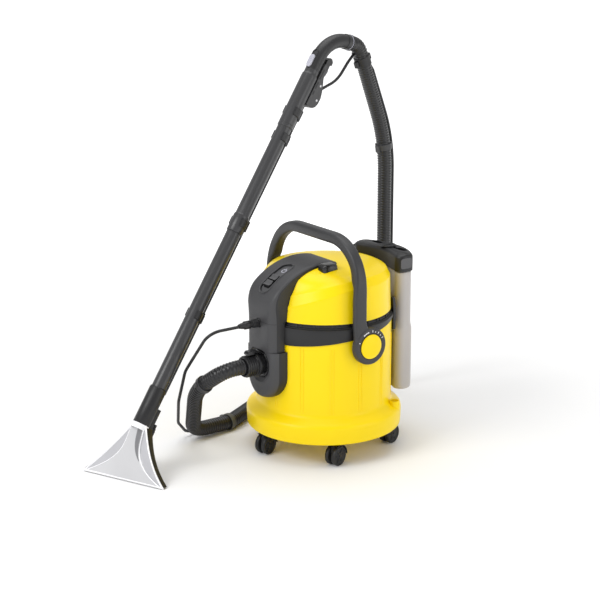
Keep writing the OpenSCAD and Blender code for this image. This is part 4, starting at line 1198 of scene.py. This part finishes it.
# thin dark wedge laid on the cover: painted shadow
wedge_rows = []
for i in range(16):
    t = lerp(0.05, 0.62, i / 15)
    u1 = channel(t) - 0.05
    u0 = u1 - lerp(0.62, 0.03, (i / 15) ** 0.8)
    row = []
    for start, end, lift in ((u0, u1, 0.35), (u1, u0, -0.3)):
        for k in range(6):
            u = lerp(start, end, k / 5)
            row.append(fan(u, t, cover_height(u, t) + lift))
    wedge_rows.append(row)
make("nozzle_cover_shadow", Form().loft(wedge_rows), CLEAR_GREY, "wand")

# black back shell of the nozzle
rows = []
for i in range(25):
    t = i / 24
    back = lerp(-30, -24, t)
    section = [(-BEAD_AT, -5.6), (-1, -7), (-1, back + 4), (-0.97, back + 1), (-0.9, back),
               (-0.5, back - 0.6)]
    section += [(0, back - 1)] + [(-u, d) for u, d in reversed(section)]
    row = [fan(u, t, d, lerp(CA, 0.0, t)) for u, d in section]
    for p in row:
        p.z = max(p.z, 3.0)               # stays clear of the floor
    rows.append(row)
body = Form().loft(rows)
body.lathe(WAND, [
    (15.5, -204), (20.2, -204), (21, -203), (21, -104), (20.2, -101.4), (19, -100), (18.2, -100.4),
    (18.2, -152), (15.5, -152)], 48)
pipe_seat = round_outline([(-11, 12), (11, 12), (11, 30), (7, 33.6), (-7, 33.6), (-11, 30)], 3, 4)
body.prism(WAND, pipe_seat, -196, -146)
make("nozzle_shell", body, BLACK, "wand", bevel=0.8, segments=2, bevel_angle=40, replaces="nozzle_body")
jet = Form().solid(WAND.at(0, 44, 0), [
    (0, -210), (5.2, -210), (6, -209), (6, -196), (5.2, -195), (5.2, -191), (6, -190.4), (4.6, -190),
    (4, -189), (4, -181), (3.2, -180), (0, -180)], 28)
jet.prism(WAND, round_outline(rect(-4, 30, 4, 41), 1, 2), -206, -192)
make("spray_tip", jet, BLACK, "wand", replaces="spray_jet")

# ------------------------------------------------------------------ hoses

HOSE_R, THIN_R = 19.0, 3.75


def past(d):
    return GRIP_END + END_DIR * d


LIE = HOSE_R + 1
HOSE = [(past(21.2), 0), (past(52), 40), (in_wand_plane(400, 690), 420), (in_wand_plane(402, LIE), 75),
        ((-325, 225, LIE), 70), ((-318, 60, LIE), 180), ((-203, -146, LIE), 120), ((-190, -268, LIE + 6), 58),
        ((-84, -322, 176), 150), ((0, -292, PORT_Z + 1), 44), ((0, -232, PORT_Z + 1), 0)]
THIN = [((0, -252, 341), 0), ((-8, -330, 338), 40), ((-78, -354, 230), 90), ((-120, -349, 140), 60),
        ((-182, -314, 60), 56), ((-222, -266, 12), 46), ((-238, -150, 8), 70), ((-346, 60, 8), 150),
        ((-360, 226, 8), 84), (in_wand_plane(434, 8), 70), (in_wand_plane(432, 690), 400),
        (in_wand_plane(349, 878), 0)]
SMOOTH_END, RIB_PITCH = 14.0, 7.0  # the hose starts as a smooth cuff


def corrugation(d):
    if d < SMOOTH_END:
        return 1.0 if d > 3 else 0.97
    phase = (d % RIB_PITCH) / RIB_PITCH
    return 0.925 + 0.085 * exp(-((phase - 0.5) / 0.2) ** 2)


hose = Form().sweep(path_stations(HOSE, 1.4, corrugation), HOSE_R, 22)
make("suction_hose_skin", hose, HOSE_SKIN, "root", replaces="suction_hose", sharp=80)

# swivel collar at the grip's end, with a bright seam ring
swivel = Form().lathe(END, [
    (13.5, 0.5), (16, 0.5), (16.5, 1), (16.5, 12.6), (20, 13.2), (20.5, 14), (20.5, 20), (19.8, 21),
    (13.5, 21)], 40)
make("hose_collar", swivel, BLACK, "root", replaces="hose_swivel")
seam = Form().lathe(END, [(17, 12.35), (19.7, 12.3), (20.1, 12.6), (20.1, 13.1), (17, 13.15)], 40)
make("collar_seam", seam, PALE, "root")

# ring clips that hold the thin hose to the big one
marks = corner_stations(HOSE, 5)
for name, k, mat in (("hose_band_1", 18, CLIP), ("hose_band_2", 34, OLIVE_CLIP), ("hose_band_3", 47, CLIP)):
    p, t = marks[k]
    side = t.cross(Vector((0.3, 0.2, 1))).normalized()
    place = Place(p, side, t.cross(side), t)
    band = Form().lathe(place, hoop(19.6, 21.4, 22, 6, 5.4), 40)
    band.block(place, (20, -5, -5), (27.5, 5, 5))
    make(name, band, mat, "root", bevel=0.6, slot="hose_plastic", replaces="hose_clips")


def hose_place(point):
    """Frame across the hose at the station nearest to a point."""
    p, t, _ = min(path_stations(HOSE, 4), key=lambda q: (q[0] - point).length)
    side = t.cross(ACROSS).normalized()
    return Place(p, side, t.cross(side), t)


top = hose_place(in_wand_plane(308, 905))
clip = Form().lathe(top, hoop(19.5, 20.6, 21.2, 13, 12.2), 40)
for side in (-1, 1):
    ear = [(side * 20, -6), (side * 29, -5), (side * 29, 5), (side * 20, 6)]
    clip.prism(top, round_outline(ear, 1.5, 3), -8, 8)
make("hose_top_clip", clip, BLACK, "root", bevel=0.7)
upper = hose_place(in_wand_plane(396, 674))
band = Form().lathe(upper, hoop(19.6, 21.4, 22, 8, 7.2), 40)
for side in (-1, 1):
    band.block(upper, (side * 23.5 - 3, -6, -7), (side * 23.5 + 3, 6, 11 if side > 0 else 7))
make("hose_upper_band", band, CLIP, "root", bevel=0.6)

thin = Form().sweep(path_stations(THIN, 5), THIN_R, 12)
make("thin_hose_skin", thin, BLACK, "root", slot="hose_plastic", replaces="spray_hose", sharp=80)

# the thin hose crosses from the big hose to the valve
LINK = [(in_wand_plane(349, 878), 0), (in_wand_plane(334, 912, -12), 12), (in_wand_plane(300, 926, -26), 14),
        (in_wand_plane(277, 923, -4), 12), (in_wand_plane(254, 908), 40), (in_wand_plane(214, 866), 90),
        (in_wand_plane(158, 850), 0)]
link = make("valve_hose", Form().sweep(path_stations(LINK, 3), THIN_R, 12), BLACK, None, slot="hose_plastic",
            sharp=80)
mm(in_wand_plane(270, 918))
mm(in_wand_plane(178, 856))
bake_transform(link)

# ------------------------------------------------------------------ finishes of the CAD nodes that stay

INSIDE = {
    "rim_gasket": RUBBER, "head_base": BLACK, "filter_cassette": PAPER, "turbine_motor": STEEL,
    "fan_impeller": GREY, "float_cage": BLACK, "float_ball": IVORY, "pump_body": CHARCOAL,
    "tank_valve": BLACK, **{f"caster_axle_{i}": BLACK for i in range(1, 6)},
}
for name, material in INSIDE.items():
    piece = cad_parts[name]
    piece.data.materials.clear()
    piece.data.materials.append(material)
    soft = piece.modifiers.new("edges", "BEVEL")
    soft.width, soft.segments, soft.limit_method = 0.0004, 2, "ANGLE"
    soft.use_clamp_overlap = True

# ------------------------------------------------------------------ studio

FLOOR_Z = -FLOOR_TO_ORIGIN / 1000
floor_mesh = bpy.data.meshes.new("studio_floor")
floor_mesh.from_pydata([(x, y, FLOOR_Z) for x, y in rect(-40, -40, 40, 40)], [], [(0, 1, 2, 3)])
floor = add_object("studio_floor", floor_mesh)
white = plastic("floor_white", (0.93, 0.93, 0.93), rough=0.9, grain=300, bump=0.0, mottle=0.004, edge=1.0)
tree = white.node_tree
away = node(tree, "ShaderNodeVectorMath", operation="LENGTH")
tree.links.new(node(tree, "ShaderNodeTexCoord").outputs["Object"], away.inputs[0])
glow = remap(tree, away.outputs["Value"], 0.0, 0.62, interpolation_type="SMOOTHSTEP",
             **{"From Min": 0.55, "From Max": 2.4})
shader = next(n for n in tree.nodes if n.type == "BSDF_PRINCIPLED")
shader.inputs["Emission Color"].default_value = (1, 1, 1, 1)
tree.links.new(glow, shader.inputs["Emission Strength"])
floor_mesh.materials.append(white)
floor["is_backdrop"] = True


def softbox(name, place, target, size, power):
    light = bpy.data.lights.new(name, "AREA")
    light.shape, light.size, light.size_y, light.energy = "RECTANGLE", size[0], size[1], power
    obj = add_object(name, light)
    obj.location = place
    obj.rotation_euler = (Vector(target) - Vector(place)).to_track_quat("-Z", "Y").to_euler()
    obj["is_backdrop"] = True


CAMERA_AZIMUTH, CAMERA_RISE, CAMERA_DISTANCE = radians(54.2), radians(16.0), 4.0
LENS, SENSOR = 96, 36             # millimetres
back = Vector((sin(CAMERA_AZIMUTH) * cos(CAMERA_RISE),
               -cos(CAMERA_AZIMUTH) * cos(CAMERA_RISE), sin(CAMERA_RISE)))
right = Vector((cos(CAMERA_AZIMUTH), sin(CAMERA_AZIMUTH), 0))
target = Vector((-0.101, 0, 0.280))
camera = add_object("camera", bpy.data.cameras.new("camera"))
camera.data.lens, camera.data.sensor_width = LENS, SENSOR
camera.data.clip_end = 100
camera.location = target + back * CAMERA_DISTANCE
camera.rotation_euler = (-back).to_track_quat("-Z", "Y").to_euler()
bpy.context.scene.camera = camera
camera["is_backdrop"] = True

level = Vector((back.x, back.y, 0)).normalized()
centre = Vector((0, 0, 0.25))
softbox("key", centre - right * 2.2 + level * 1.6 + Vector((0, 0, 2.0)), centre, (1.6, 1.6), 44)
softbox("fill", centre + right * 2.6 + level * 1.4 + Vector((0, 0, 0.9)), centre, (1.4, 2.0), 15)
softbox("top", centre + Vector((0, 0, 3.0)) - level * 0.6, centre, (2.6, 2.6), 40)
world = bpy.data.worlds.new("studio")
world.use_nodes = True
sky = world.node_tree.nodes["Background"]
sky.inputs["Color"].default_value = (1, 1, 1, 1)
seen = node(world.node_tree, "ShaderNodeLightPath")
strength = remap(world.node_tree, seen.outputs["Is Camera Ray"], 0.62, 1.0)
world.node_tree.links.new(strength, sky.inputs["Strength"])
bpy.context.scene.world = world
bpy.context.scene.view_settings.view_transform = "Standard"

low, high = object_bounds()
